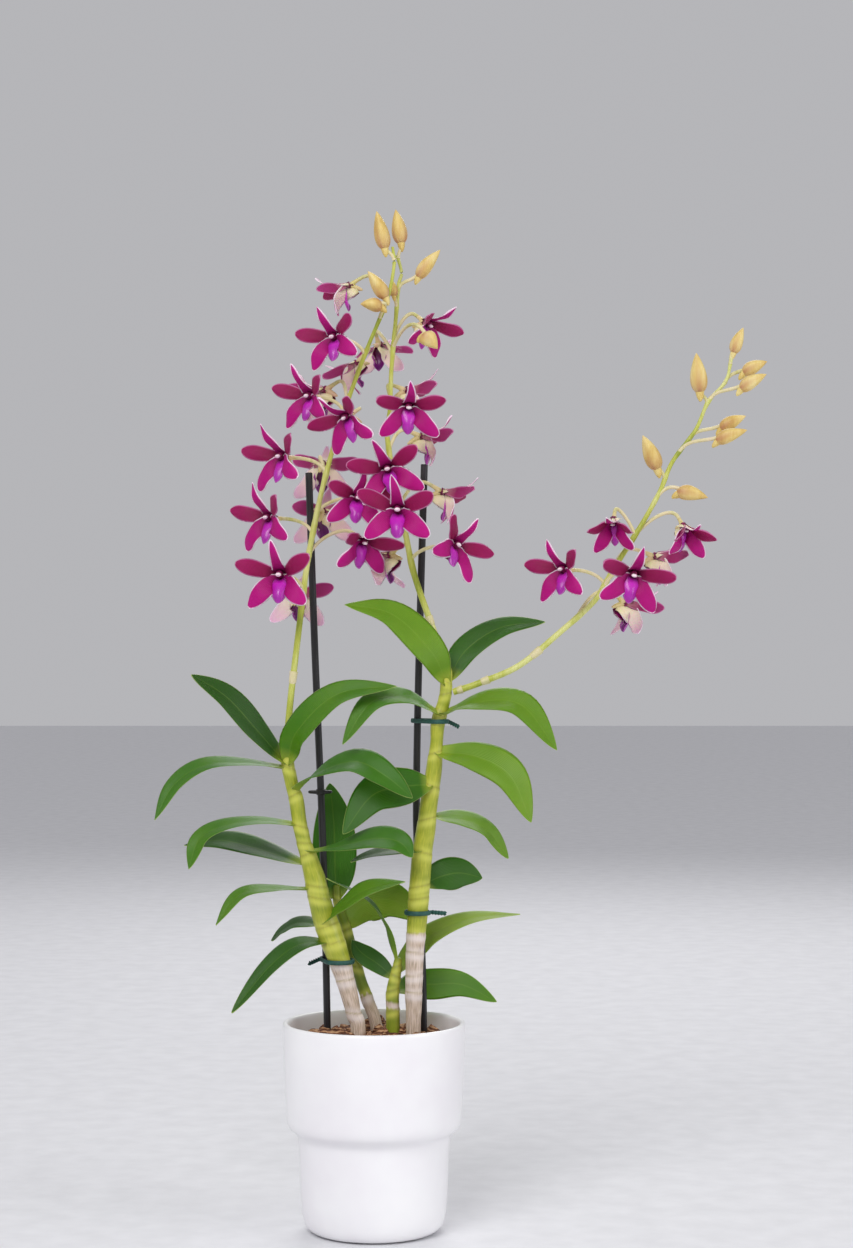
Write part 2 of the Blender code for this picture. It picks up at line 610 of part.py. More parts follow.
def bark(canes_in, stakes_in):
    """Make the bark filling with chips on top and plain holes for canes and stakes."""
    outside = pot_outside()
    play = POT_WALL + 2 * GAP
    wall = [(r - play, z) for r, z in outside[2:6:2]] + [(47.4 * MM, 52 * MM), (45.7 * MM, 20 * MM)]
    profile = [(0, BARK_TOP_Z), (POT_RIM_RADIUS - 5.6 * MM, BARK_TOP_Z)] + wall
    profile += [(38 * MM, POT_FLOOR + GAP), (0, POT_FLOOR + GAP)]
    filling = as_mesh(turned("bark", profile, bark_brown))
    draw = random.Random(7)
    things = [filling]
    sites = [(s[1], CHIP_TO_STAKE) for s in stakes_in] + [(s[1], CHIP_TO_CANE) for s in canes_in]
    chips = []
    while len(chips) < BARK_CHIPS:
        turn = draw.uniform(0, 2 * math.pi)
        out = CHIP_FIELD_RADIUS * math.sqrt(draw.random())
        spot = Vector((out * math.cos(turn), out * math.sin(turn)))
        clear = all((Vector(s[:2]) * MM - spot).length > room for s, room in sites)
        if clear and all((spot - c).length > CHIP_SPACING for c in chips):
            chips.append(spot)
    for number, spot in enumerate(chips):
        work = bmesh.new()
        bmesh.ops.create_cube(work, size=1.0)
        size = draw.uniform(0.75, 1.15)
        for corner in work.verts:
            jitter = Vector([draw.uniform(-0.13, 0.13) for _ in range(3)])
            corner.co = Vector([(c + j) * s * size for c, j, s in zip(corner.co, jitter, CHIP_SIZE)])
        mesh = bpy.data.meshes.new("chip")
        work.to_mesh(mesh)
        work.free()
        chip = new_object(f"chip {number}", mesh)
        tip_over = (draw.uniform(-0.5, 0.5), draw.uniform(-0.4, 0.4), draw.uniform(0, math.pi))
        chip.matrix_world = Matrix.Translation((*spot, BARK_TOP_Z + 1.0 * MM)) @ (
            Matrix.Rotation(tip_over[2], 4, "Z") @ Matrix.Rotation(tip_over[0], 4, "X")
            @ Matrix.Rotation(tip_over[1], 4, "Y"))
        things.append(chip)
    filling = fuse("bark", things, bark_brown)
    for stations in canes_in:
        bore(filling, place(stations[:2]), [s[3] / 2 * MM for s in stations[:2]])
    for stations in stakes_in:
        bore(filling, place(stations[:2]), [STAKE_RADIUS] * 2)
    return filling


def bore(body, points, radii):
    """Cut a plain hole that follows a cane's or a stake's foot."""
    above = points[1] + (points[1] - points[0]) * 0.3
    cutter = tube("cutter", [points[0] - Vector((0, 0, GAP)), above], [r + HOLE_PLAY for r in radii], 3)
    parts.objects.unlink(cutter)
    cutters.objects.link(cutter)
    cutter.hide_render = True
    cutter.display_type = "WIRE"
    cut = body.modifiers.new("hole", "BOOLEAN")
    cut.operation = "DIFFERENCE"
    cut.object = cutter
    cut.solver = "MANIFOLD"


def stake(name, stations):
    """Make a black rod that follows its slightly bowed line."""
    points = place(stations)
    rod = tube(name, points, [STAKE_RADIUS] * len(points), 2)
    rod.data.materials.append(stake_black)
    return rod


def clip(name, centre, size, hole):
    """Make a small moulded clip with a hole for its stake."""
    bpy.ops.mesh.primitive_cube_add(size=1.0, location=Vector(centre) * MM)
    block = bpy.context.object
    block.name = name
    block.data.name = name
    block.data.transform(Matrix.Diagonal((*(s * MM for s in size), 1.0)))
    move_to_parts(block)
    bevel = block.modifiers.new("edges", "BEVEL")
    bevel.width = CLIP_EDGE
    bevel.segments = 1
    block.data.materials.append(stake_black)
    bpy.ops.mesh.primitive_cylinder_add(vertices=12, radius=STAKE_RADIUS + CLIP_PLAY, depth=30 * MM,
                                        location=Vector(hole) * MM)
    cutter = bpy.context.object
    cutter.name = name + " hole"
    for group in list(cutter.users_collection):
        group.objects.unlink(cutter)
    cutters.objects.link(cutter)
    cutter.hide_render = True
    cutter.display_type = "WIRE"
    cut = block.modifiers.new("hole", "BOOLEAN")
    cut.operation = "DIFFERENCE"
    cut.object = cutter
    cut.solver = "MANIFOLD"
    return block


def move_to_parts(thing):
    """Keep an object that an operator made in the part's own collection only."""
    for group in list(thing.users_collection):
        group.objects.unlink(thing)
    parts.objects.link(thing)


def tie(name, stations, stake_stations, z, slack, tail):
    """Make a twist tie: a band round cane and stake, and its twisted ends.

    Slack is further room round a cane that leans through the band.
    """
    line = place(stations)
    share = at_height(line, z * MM)
    middle = along(line, share)
    diameter = [s[3] for s in stations]
    spot = share * (len(diameter) - 1)
    k = min(int(spot), len(diameter) - 2)
    cane_radius = (diameter[k] + (diameter[k + 1] - diameter[k]) * (spot - k)) / 2 * MM
    rod = along(place(stake_stations), at_height(place(stake_stations), z * MM))
    play = TIE_RADIUS + TIE_PLAY
    ring = hull_round(middle, cane_radius + play + slack, rod, STAKE_RADIUS + play, z * MM)
    path = bpy.data.curves.new(name, "CURVE")
    path.dimensions = "3D"
    path.bevel_depth = TIE_RADIUS
    path.bevel_resolution = 0
    curve_line = path.splines.new("POLY")
    curve_line.points.add(len(ring) - 1)
    curve_line.use_cyclic_u = True
    for spot, p in zip(curve_line.points, ring):
        spot.co = (*p, 1.0)
    thing = bpy.data.objects.new(name, path)
    parts.objects.link(thing)
    things = [as_mesh(thing)]
    knot, end = place(tail)
    near = min(ring, key=lambda p: (p - knot).length)
    things.append(tube(f"{name} ends", [near, end], [TIE_RADIUS * 1.1] * 2, 0))
    return fuse(name, things, tie_green)


def hull_round(a, a_radius, b, b_radius, z):
    """Give a closed line at one height that runs round two circles like a taut band."""
    gap_x, gap_y = b.x - a.x, b.y - a.y
    apart = math.hypot(gap_x, gap_y)
    heading = math.atan2(gap_y, gap_x)
    lean = math.acos(max(-1.0, min(1.0, (a_radius - b_radius) / apart)))
    points = []
    for k in range(9):
        turn = heading + lean + (2 * math.pi - 2 * lean) * k / 8
        points.append(Vector((a.x + a_radius * math.cos(turn), a.y + a_radius * math.sin(turn), z)))
    for k in range(4):
        turn = heading - lean + 2 * lean * k / 3
        points.append(Vector((b.x + b_radius * math.cos(turn), b.y + b_radius * math.sin(turn), z)))
    return points


for thing in list(bpy.data.objects):
    bpy.data.objects.remove(thing)

parts = start_collection("dendrobium orchid")
cutters = start_collection("cutters")

glaze_white = make_material("white glaze", (0.86, 0.86, 0.87), 0.25)
bark_brown = make_material("orchid bark", (0.16, 0.07, 0.04), 0.85)
cane_green = make_material("cane and leaves", (0.20, 0.36, 0.06), 0.5)
stem_green = make_material("flower stem", (0.50, 0.55, 0.16), 0.5)
tepal_purple = make_material("orchid tepal", (0.33, 0.01, 0.14), 0.55)
stake_black = make_material("black plastic", (0.01, 0.01, 0.012), 0.4)
tie_green = make_material("tie", (0.01, 0.07, 0.06), 0.6)

pot()
bark([CANE_LEFT, CANE_RIGHT, CANE_BACK, NEW_SHOOT], [STAKE_LEFT, STAKE_RIGHT])
cane("cane_left", CANE_LEFT, LEAVES_LEFT, cane_green)
cane("cane_right", CANE_RIGHT, LEAVES_RIGHT, cane_green)
cane("cane_back", CANE_BACK, LEAVES_BACK, cane_green)
cane("new_shoot", NEW_SHOOT, LEAVES_SHOOT, cane_green)
bloom_shapes = {share: bloom_mesh(share) for share in (0.55, 0.9, 1.0)}
spray("spray_left", STEM_LEFT, BLOOMS_LEFT, BUDS_LEFT)
spray("spray_centre", STEM_CENTRE, BLOOMS_CENTRE, BUDS_CENTRE)
spray("spray_right", STEM_RIGHT, BLOOMS_RIGHT, BUDS_RIGHT)
stake("stake_left", STAKE_LEFT)
stake("stake_right", STAKE_RIGHT)
clip("clip_left", (-38, 13, 304), (17, 7, 4), (-37.6, 13, 304))
clip("clip_right", (29.5, 14, 303), (6.8, 6.8, 3.5), (29.5, 14, 303))
tie("tie_low", CANE_LEFT, STAKE_LEFT, 187, 0.6 * MM, [(-39, 14, 187), (-46, 10, 184)])
tie("tie_middle", CANE_RIGHT, STAKE_RIGHT, 221, 0.0, [(38, 4, 221), (50, 2, 220)])
tie("tie_top", CANE_RIGHT, STAKE_RIGHT, 354, 0.6 * MM, [(51, 4, 354), (59, 2, 350)])

for thing in parts.objects:
    thing.data.shade_smooth()
    thing.data.set_sharp_from_angle(angle=math.radians(40))
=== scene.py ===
import math
import random

import bpy
import bmesh
from mathutils import Matrix, Vector, noise


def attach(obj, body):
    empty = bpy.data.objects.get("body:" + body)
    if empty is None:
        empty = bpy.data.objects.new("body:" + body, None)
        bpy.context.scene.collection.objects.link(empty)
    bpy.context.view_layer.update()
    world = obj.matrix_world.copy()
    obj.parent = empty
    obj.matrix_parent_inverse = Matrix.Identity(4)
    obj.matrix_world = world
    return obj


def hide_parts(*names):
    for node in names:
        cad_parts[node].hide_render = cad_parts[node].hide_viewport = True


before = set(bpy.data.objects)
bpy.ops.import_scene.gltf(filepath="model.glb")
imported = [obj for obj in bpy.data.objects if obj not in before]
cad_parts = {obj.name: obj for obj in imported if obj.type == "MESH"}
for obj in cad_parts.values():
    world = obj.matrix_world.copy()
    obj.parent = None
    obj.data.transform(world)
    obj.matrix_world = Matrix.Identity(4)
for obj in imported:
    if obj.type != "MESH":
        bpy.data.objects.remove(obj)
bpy.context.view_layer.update()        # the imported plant: one body, root, and a node for each solid
mm = 0.001
up = Vector((0, 0, 1))
print("frame loaded:", len(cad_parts), "nodes")


# colours and nodes

def linearColour(hexColour):
    channels = [int(hexColour[k:k + 2], 16) / 255 for k in (1, 3, 5)]
    return [c / 12.92 if c <= 0.04045 else ((c + 0.055) / 1.055) ** 2.4 for c in channels] + [1.0]


def addNode(tree, kind, settings=None, links=None):
    # a new node, or one that is there, with its settings and with links into its inputs
    node = tree.nodes.new(kind) if isinstance(kind, str) else kind
    for key, value in (settings or {}).items():
        if key == "stops":              # a colour ramp's (position, hex colour) pairs, in order
            ends = node.color_ramp.elements
            ends[0].position, ends[0].color = value[0][0], linearColour(value[0][1])
            ends[1].position, ends[1].color = value[-1][0], linearColour(value[-1][1])
            for spot, colour in value[1:-1]:
                ends.new(spot).color = linearColour(colour)
        elif isinstance(key, str) and hasattr(node, key):
            setattr(node, key, value)
        else:
            node.inputs[key].default_value = linearColour(value) if isinstance(value, str) else value
    for key, source in (links or {}).items():
        tree.links.new(source.outputs[0] if isinstance(source, bpy.types.Node) else source, node.inputs[key])
    return node


def startMaterial(name):
    # gives the material, a short way to add a shader node to it, its shader and the object's coordinates
    material = bpy.data.materials.new(name)
    material.use_nodes = True
    tree = material.node_tree
    tree.nodes.clear()

    def add(kind, settings=None, links=None):
        return addNode(tree, "ShaderNode" + kind if isinstance(kind, str) else kind, settings, links)

    shader = add("BsdfPrincipled")
    add("OutputMaterial", {}, {"Surface": shader})
    return material, add, shader, add("TexCoord").outputs["Object"]


# meshes put together face by face: flow runs across and along a piece, traits and rim hold what its
# material needs to know at a point

def startBuild():
    return {"points": [], "faces": [], "flow": [], "traits": [], "rim": [], "slots": []}


def addFace(build, corners, flow, traits, rim, slot):
    build["faces"].append(corners)
    build["flow"].extend(flow)
    build["traits"].extend(traits)
    build["rim"].extend(rim)
    build["slots"].append(slot)


def linkNew(name, contents):
    thing = bpy.data.objects.new(name, contents)
    bpy.context.scene.collection.objects.link(thing)
    return thing


def finishPiece(build, name, materials, nodes):
    mesh = bpy.data.meshes.new(name)
    mesh.from_pydata(build["points"], [], build["faces"])
    for layer in ("flow", "traits", "rim"):
        uvs = mesh.uv_layers.new(name=layer)
        uvs.data.foreach_set("uv", [value for pair in build[layer] for value in pair])
    mesh.polygons.foreach_set("material_index", build["slots"])
    mesh.polygons.foreach_set("use_smooth", [True] * len(build["faces"]))
    for material in materials:
        mesh.materials.append(material)
    mesh.update()
    settle(linkNew(name, mesh), nodes)


def settle(piece, nodes):
    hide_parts(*nodes)
    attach(piece, "root")


def hump(x, middle, width):
    # 1 at the middle, and it fades smoothly on both sides
    return math.exp(-((x - middle) / width) ** 2)


# smooth lines through points: a place on one is a share of its points, from 0 to 1

def smoothPoint(points, share):
    last = len(points) - 1
    spot = min(max(share, 0.0), 1.0) * last
    k = min(int(spot), last - 1)
    t = spot - k
    p1, p2 = points[k], points[k + 1]
    p0 = points[k - 1] if k else p1 * 2 - p2
    p3 = points[k + 2] if k + 2 <= last else p2 * 2 - p1
    bend = (p0 * 2 - p1 * 5 + p2 * 4 - p3) * t * t + (p1 * 3 - p0 - p2 * 3 + p3) * t * t * t
    return (p1 * 2 + (p2 - p0) * t + bend) * 0.5


def smoothNumber(numbers, share):
    return smoothPoint([Vector((n, 0, 0)) for n in numbers], share).x


def smoothRun(points, share):
    return (smoothPoint(points, share + 0.01) - smoothPoint(points, share - 0.01)).normalized()


def smoothLength(points, start, steps):
    spots = [smoothPoint(points, start + (1 - start) * k / steps) for k in range(steps + 1)]
    return sum((two - one).length for one, two in zip(spots, spots[1:]))


def shareAtHeight(points, z):
    low, high = 0.0, 1.0
    for _ in range(24):
        middle = (low + high) / 2
        low, high = (middle, high) if smoothPoint(points, middle).z < z else (low, middle)
    return low


def inMetres(points):
    return [Vector(p[:3]) * mm for p in points]


def addBlade(build, spine, face, form, slot, tone, shake):
    # a leaf, petal or sepal: a lens-shaped section with a groove down the middle, swept along its spine
    rows, columns = form["rows"], form["columns"]
    length = smoothLength(spine, 0.0, 12)
    phase = shake.uniform(0, 6.28)
    shares = [math.sin(math.pi / 2 * i / rows) ** form["crowd"] for i in range(rows)]
    tops, unders, edges = [], [], []
    for share in shares:
        here = smoothPoint(spine, share)
        run = smoothRun(spine, share)
        normal = face(share)
        normal = (normal - run * normal.dot(run)).normalized()
        side = normal.cross(run)
        half = form["width"] / 2 * form["outline"](share)
        lift = form["lift"](share)
        top, under, edge = [], [], []
        for j in range(columns + 1):
            x = 2 * j / columns - 1
            rise = half * (lift * (math.sqrt(x * x + 0.02) - 0.141) - form["curl"](share) * x * x)
            wave = math.sin(phase + share * form["waves"] * 6.28 + (2.1 if x > 0 else 0))
            rise += form["wave"] * abs(x) ** 3 * wave
            out = half * x * (1 - 0.12 * lift * lift)
            wall = form["thickness"] / 2 * (1 - abs(x) ** 3)
            keel = form["keel"] * hump(x, 0, 0.09) * (1 - share)
            middle = here + side * out + normal * rise
            build["points"].append(middle + normal * (wall - keel * 0.4))
            top.append(len(build["points"]) - 1)
            if 0 < j < columns:
                build["points"].append(middle - normal * (wall + keel))
                under.append(len(build["points"]) - 1)
            else:
                under.append(top[-1])
            edge.append(min((1 - abs(x)) * half, (1 - share) * length) / mm * 0.1)
        tops.append(top)
        unders.append(under)
        edges.append(edge)
    build["points"].append(smoothPoint(spine, 1.0))
    tip = len(build["points"]) - 1
    across = [j / columns for j in range(columns + 1)]
    stretch = length / mm * 0.01
    for layer, below in ((tops, 0), (unders, 1)):
        for i in range(rows):
            for j in range(columns):
                far = [(i + 1, j), (i + 1, j + 1)] if i < rows - 1 else [None]       # None is the tip
                ring = [(i, j), *far, (i, j + 1)]
                if below:
                    ring.reverse()
                corners = [layer[r[0]][r[1]] if r else tip for r in ring]
                tipFlow = ((across[j] + across[j + 1]) / 2, 1.0)
                flow = [(across[r[1]], shares[r[0]]) if r else tipFlow for r in ring]
                rim = [(edges[r[0]][r[1]] if r else 0.0, stretch) for r in ring]
                addFace(build, corners, flow, [(below, tone)] * len(ring), rim, slot)
    for j in range(columns):            # close the root
        corners = [tops[0][j], tops[0][j + 1], unders[0][j + 1], unders[0][j]]
        corners = list(dict.fromkeys(corners))
        many = len(corners)
        addFace(build, corners, [(across[j], 0)] * many, [(1, tone)] * many, [(0.5, stretch)] * many, slot)


def addTube(build, rings, slot=0, traits=lambda i, k: (0, 0, 0, 0), looped=False):
    # a tube through rings of points, capped at both ends or closed on itself; traits gives four numbers
    # for each (ring, side)
    sides = len(rings[0])
    first = len(build["points"])
    along = [0.0]
    for one, two in zip(rings, rings[1:] + rings[:1]):
        along.append(along[-1] + (two[0] - one[0]).length / mm * 0.01)
    for ring in rings:
        build["points"].extend(ring)
    for i in range(len(rings) if looped else len(rings) - 1):
        j = (i + 1) % len(rings)
        for k in range(sides):
            n = (k + 1) % sides
            spots = [(i, k), (i, n), (j, n), (j, k)]
            flow = [(k / sides, along[i]), ((k + 1) / sides, along[i]),
                    ((k + 1) / sides, along[i + 1]), (k / sides, along[i + 1])]
            notes = [traits(*spot) for spot in spots]
            addFace(build, [first + ring * sides + side for ring, side in spots], flow,
                    [note[:2] for note in notes], [note[2:] for note in notes], slot)
    for i in [] if looped else [0, len(rings) - 1]:
        corners = [first + i * sides + k for k in range(sides)]
        if i == 0:
            corners.reverse()
        note = traits(i, 0)
        addFace(build, corners, [(0.5, along[i])] * sides, [note[:2]] * sides, [note[2:]] * sides, slot)


def circlePoint(share, radius=1.0):
    return Vector((math.cos(math.tau * share), math.sin(math.tau * share), 0)) * radius


def ringAround(centre, run, radii):
    # points round a path's point; side 0 lies to the right of the front view, and the count runs to the back
    first = (Vector((1, 0, 0)) - run * run.x).normalized()
    second = run.cross(first)
    turns = [circlePoint(k / len(radii), r) for k, r in enumerate(radii)]
    return [centre + first * turn.x + second * turn.y for turn in turns]


# camera at the photograph's view: level, just right of the pot's axis, with a long lens

view = {"place": (0.0365, -1.817, 0.4217), "lens": 2611 / 1248 * 36, "sensor": 36}
camera = bpy.data.cameras.new("view camera")
camera.sensor_fit = "VERTICAL"
camera.sensor_height = view["sensor"]
camera.lens = view["lens"]
cameraStand = linkNew("view camera", camera)
cameraStand.location = view["place"]
cameraStand.rotation_euler = (math.pi / 2, 0, 0)
bpy.context.scene.camera = cameraStand
bpy.context.scene.view_settings.view_transform = "Standard"

# soft studio light: a wide box above the front, a weaker one on each side, and a pale room
softBoxes = [
    {"name": "key box", "place": (-0.7, -1.9, 1.9), "size": 1.3, "power": 34},
    {"name": "right fill", "place": (2.0, -1.1, 0.9), "size": 1.2, "power": 13},
    {"name": "back box", "place": (0.3, 1.9, 1.7), "size": 1.2, "power": 16},
]
studio = {"aim": 0.35, "air": "#e4e4e8", "glow": 0.6, "floor": 9.0, "floorHeight": -0.0004}
for box in softBoxes:
    light = bpy.data.lights.new(box["name"], "AREA")
    light.size = box["size"]
    light.energy = box["power"]
    stand = linkNew(box["name"], light)
    stand.location = box["place"]
    stand.rotation_euler = (up * studio["aim"] - Vector(box["place"])).to_track_quat("-Z", "Y").to_euler()
room = bpy.data.worlds.new("pale room")
room.use_nodes = True
air = room.node_tree.nodes["Background"]
addNode(room.node_tree, air, {"Color": studio["air"], "Strength": studio["glow"]})
bpy.context.scene.world = room

reach, level = studio["floor"], studio["floorHeight"]
floorMesh = bpy.data.meshes.new("floor")
corners = [(-reach, -reach, level), (reach, -reach, level), (reach, reach, level), (-reach, reach, level)]
floorMesh.from_pydata(corners, [], [(0, 1, 2, 3)])
paleFloor, add, shader, coords = startMaterial("pale floor paint")
grain = add("TexNoise", {"Scale": 40.0, "Detail": 3.0}, {"Vector": coords})
tone = add("ValToRGB", {"stops": [(0.3, "#dedee1"), (0.7, "#e6e6e9")]}, {"Fac": grain})
add(shader, {"Roughness": 0.7}, {"Base Color": tone})
floorMesh.materials.append(paleFloor)
linkNew("floor", floorMesh)
print("camera, light and floor set")


# glazed stoneware, slip cast and fired: a white, slightly uneven gloss that softens the reflections
whiteGlaze, add, shader, coords = startMaterial("white glazed stoneware")
clouds = add("TexNoise", {"Scale": 14.0, "Detail": 3.0, "Roughness": 0.6}, {"Vector": coords})
body = add("ValToRGB", {"stops": [(0.3, "#f4f1f5"), (0.55, "#f9f8fa"), (0.75, "#fdfcfd")]}, {"Fac": clouds})
gloss = add("MapRange", {"To Min": 0.26, "To Max": 0.36}, {"Value": clouds})
pull = add("TexNoise", {"Scale": 90.0, "Detail": 2.0}, {"Vector": coords})      # 11 mm ripples of the glaze
pits = add("TexNoise", {"Scale": 700.0, "Detail": 2.0}, {"Vector": coords})     # 1.4 mm orange peel
height = add("Math", {"operation": "MULTIPLY_ADD", 1: 0.12}, {0: pits, 2: pull})
bump = add("Bump", {"Strength": 0.10, "Distance": 0.0006}, {"Height": height})
add(shader, {"IOR": 1.5, "Coat Weight": 0.35, "Coat Roughness": 0.12},
    {"Base Color": body, "Roughness": gloss, "Normal": bump})

# fir bark, broken and aged in water: red-brown plates with pale broken edges and dark pores
firBark, add, shader, coords = startMaterial("aged fir bark")
lumps = add("TexNoise", {"Scale": 160.0, "Detail": 6.0, "Roughness": 0.65}, {"Vector": coords})
plates = add("TexWave", {"Scale": 130.0, "Distortion": 7.0, "Detail": 3.0, "bands_direction": "Z"},
             {"Vector": coords})        # 2 mm plates
both = add("Math", {"operation": "MULTIPLY_ADD", 1: 0.45}, {0: plates, 2: lumps})
shades = [(0.32, "#22130d"), (0.55, "#5c3623"), (0.78, "#8c5a3a"), (0.98, "#c39a74")]
tone = add("ValToRGB", {"stops": shades}, {"Fac": both})
bump = add("Bump", {"Strength": 0.8, "Distance": 0.0012}, {"Height": both})
rough = add("MapRange", {"To Min": 0.7, "To Max": 0.95}, {"Value": lumps})
add(shader, {}, {"Base Color": tone, "Roughness": rough, "Normal": bump})

# waxy orchid leaf: dark and glossy above with parallel veins, paler and duller below, a thin pale rim
leafFlesh, add, shader, coords = startMaterial("waxy leaf")
across, along = add("SeparateXYZ", {}, {0: add("UVMap", {"uv_map": "flow"})}).outputs[:2]
below, young = add("SeparateXYZ", {}, {0: add("UVMap", {"uv_map": "traits"})}).outputs[:2]
fromRim = add("SeparateXYZ", {}, {0: add("UVMap", {"uv_map": "rim"})})
patches = add("TexNoise", {"Scale": 45.0, "Detail": 4.0}, {"Vector": coords})      # 22 mm patches
wobble = add("Math", {"operation": "MULTIPLY_ADD", 1: 0.05}, {0: patches, 2: across})
veinTurns = add("Math", {"operation": "MULTIPLY", 1: 150.0}, {0: wobble})          # a vein every 0.9 mm
veins = add("Math", {"operation": "SINE"}, {0: veinTurns})
offMiddle = add("Math", {"operation": "SUBTRACT", 1: 0.5}, {0: across})
fromMiddle = add("Math", {"operation": "ABSOLUTE"}, {0: offMiddle})
midrib = add("MapRange", {"From Min": 0.006, "From Max": 0.03, "To Min": 1.0, "To Max": 0.0},
             {"Value": fromMiddle})
shade = add("Math", {"operation": "MULTIPLY_ADD", 1: 0.22}, {0: patches, 2: young})
shade = add("Math", {"operation": "MULTIPLY_ADD", 1: 0.035}, {0: veins, 2: shade})
shade = add("Math", {"operation": "SUBTRACT", 1: 0.10}, {0: shade})
upper = add("ValToRGB", {"stops": [(0.0, "#234d08"), (0.35, "#3a700a"), (0.7, "#6b9218"), (1.0, "#a4b345")]},
            {"Fac": shade})
lower = add("ValToRGB", {"stops": [(0.0, "#5d8526"), (0.6, "#7f9f3a"), (1.0, "#a9b763")]}, {"Fac": shade})
faces = add("Mix", {"data_type": "RGBA"}, {0: below, 6: upper, 7: lower})
atSheath = add("MapRange", {"From Min": 0.02, "From Max": 0.16, "To Min": 0.85, "To Max": 0.0},
               {"Value": along})
based = add("Mix", {"data_type": "RGBA", 7: "#a3b23c"}, {0: atSheath, 6: faces.outputs[2]})
ribShare = add("Math", {"operation": "MULTIPLY", 1: 0.16}, {0: midrib})
ribbed = add("Mix", {"data_type": "RGBA", 7: "#8fae44"}, {0: ribShare, 6: based.outputs[2]})
margin = add("MapRange", {"From Min": 0.015, "From Max": 0.05, "To Min": 0.75, "To Max": 0.0},
             {"Value": fromRim})        # 0.3 mm rim
rimmed = add("Mix", {"data_type": "RGBA", 7: "#b7c86f"}, {0: margin, 6: ribbed.outputs[2]})
dull = add("MapRange", {"To Min": 0.33, "To Max": 0.55}, {"Value": below})
dull = add("Math", {"operation": "MULTIPLY_ADD", 1: 0.12}, {0: patches, 2: dull})
cells = add("TexNoise", {"Scale": 1400.0, "Detail": 2.0}, {"Vector": coords})      # 0.7 mm grain of the cells
relief = add("Math", {"operation": "MULTIPLY_ADD", 1: 0.35}, {0: cells, 2: veins})
relief = add("Math", {"operation": "MULTIPLY_ADD", 1: -1.2}, {0: midrib, 2: relief})
bump = add("Bump", {"Strength": 0.28, "Distance": 0.0003}, {"Height": relief})
add(shader, {"Specular IOR Level": 0.3, "Coat Weight": 0.06, "Coat Roughness": 0.3, "Subsurface Weight": 0.10,
             "Subsurface Radius": (0.2, 0.6, 0.1), "Subsurface Scale": 0.003},
    {"Base Color": rimmed.outputs[2], "Roughness": dull, "Normal": bump})

# cane under its sheaths: fleshy yellow-green above, dry paper with fine lengthwise fibres below
caneSkin, add, shader, coords = startMaterial("sheathed cane")
flow = add("UVMap", {"uv_map": "flow"})
dry, mouth = add("SeparateXYZ", {}, {0: add("UVMap", {"uv_map": "traits"})}).outputs[:2]
glow, greener = add("SeparateXYZ", {}, {0: add("UVMap", {"uv_map": "rim"})}).outputs[:2]
stretched = add("Mapping", {"Scale": (42.0, 9.0, 1.0)}, {"Vector": flow})      # fibres 0.9 by 11 mm
fibres = add("TexNoise", {"Scale": 1.0, "Detail": 5.0, "Roughness": 0.6}, {"Vector": stretched})
patches = add("TexNoise", {"Scale": 70.0, "Detail": 4.0}, {"Vector": coords})      # 14 mm patches
halfPatches = add("Math", {"operation": "MULTIPLY", 1: 0.5}, {0: patches})
mixed = add("Math", {"operation": "MULTIPLY_ADD", 1: 0.5}, {0: fibres, 2: halfPatches})
fresh = add("ValToRGB", {"stops": [(0.3, "#748722"), (0.48, "#a2aa2c"), (0.62, "#c0c040"), (0.8, "#d3d25e")]},
            {"Fac": mixed})
shaded = add("Mix", {"data_type": "RGBA", 7: "#5f7a16"}, {0: greener, 6: fresh})
swollen = add("Mix", {"data_type": "RGBA", 7: "#d3d45e"}, {0: glow, 6: shaded.outputs[2]})
paper = add("ValToRGB", {"stops": [(0.3, "#96846f"), (0.45, "#c3ae9a"), (0.6, "#dccabb"), (0.8, "#eadcd2")]},
            {"Fac": fibres})
bleached = add("Mix", {"data_type": "RGBA", 7: "#ede2de"}, {0: glow, 6: paper})
skin = add("Mix", {"data_type": "RGBA"}, {0: dry, 6: swollen.outputs[2], 7: bleached.outputs[2]})
lined = add("Mix", {"data_type": "RGBA", 7: "#97883c"}, {0: mouth, 6: skin.outputs[2]})
dull = add("MapRange", {"To Min": 0.38, "To Max": 0.75}, {"Value": dry})
bump = add("Bump", {"Strength": 0.5, "Distance": 0.0003}, {"Height": fibres})
add(shader, {"Subsurface Weight": 0.08, "Subsurface Radius": (0.6, 0.6, 0.2), "Subsurface Scale": 0.003},
    {"Base Color": lined.outputs[2], "Roughness": dull, "Normal": bump})


# orchid sepals, petals and lips: a velvety face with fine veins, a thin pale rim and a dark throat, and a
# back of its own, cream to pale pink on the sepals

tepalShades = {
    "sepal": {
        "throat": "#40001c", "middle": "#9c0063", "tip": "#b40079", "vein": "#c61f94",
        "backRoot": "#f1e6ae", "back": "#f3e4cf", "backTip": "#e8bcd4", "backVein": "#e2a9c6",
        "rim": "#fce2f4", "rimShare": 1.0,
    },
    "petal": {
        "throat": "#3c0019", "middle": "#840442", "tip": "#960a54", "vein": "#a81c64",
        "backRoot": "#c28a90", "back": "#94245e", "backTip": "#a83478", "backVein": "#7c0c44",
        "rim": "#d488b4", "rimShare": 0.75,
    },
    "lip": {
        "throat": "#540030", "middle": "#c408b8", "tip": "#9c0498", "vein": "#dc3cd0",
        "backRoot": "#c9a0a8", "back": "#8c0c7c", "backTip": "#640a6c", "backVein": "#700878",
        "rim": "#d77fcf", "rimShare": 0.35, "gloss": {"Coat Weight": 0.8, "Coat Roughness": 0.25},
    },
}


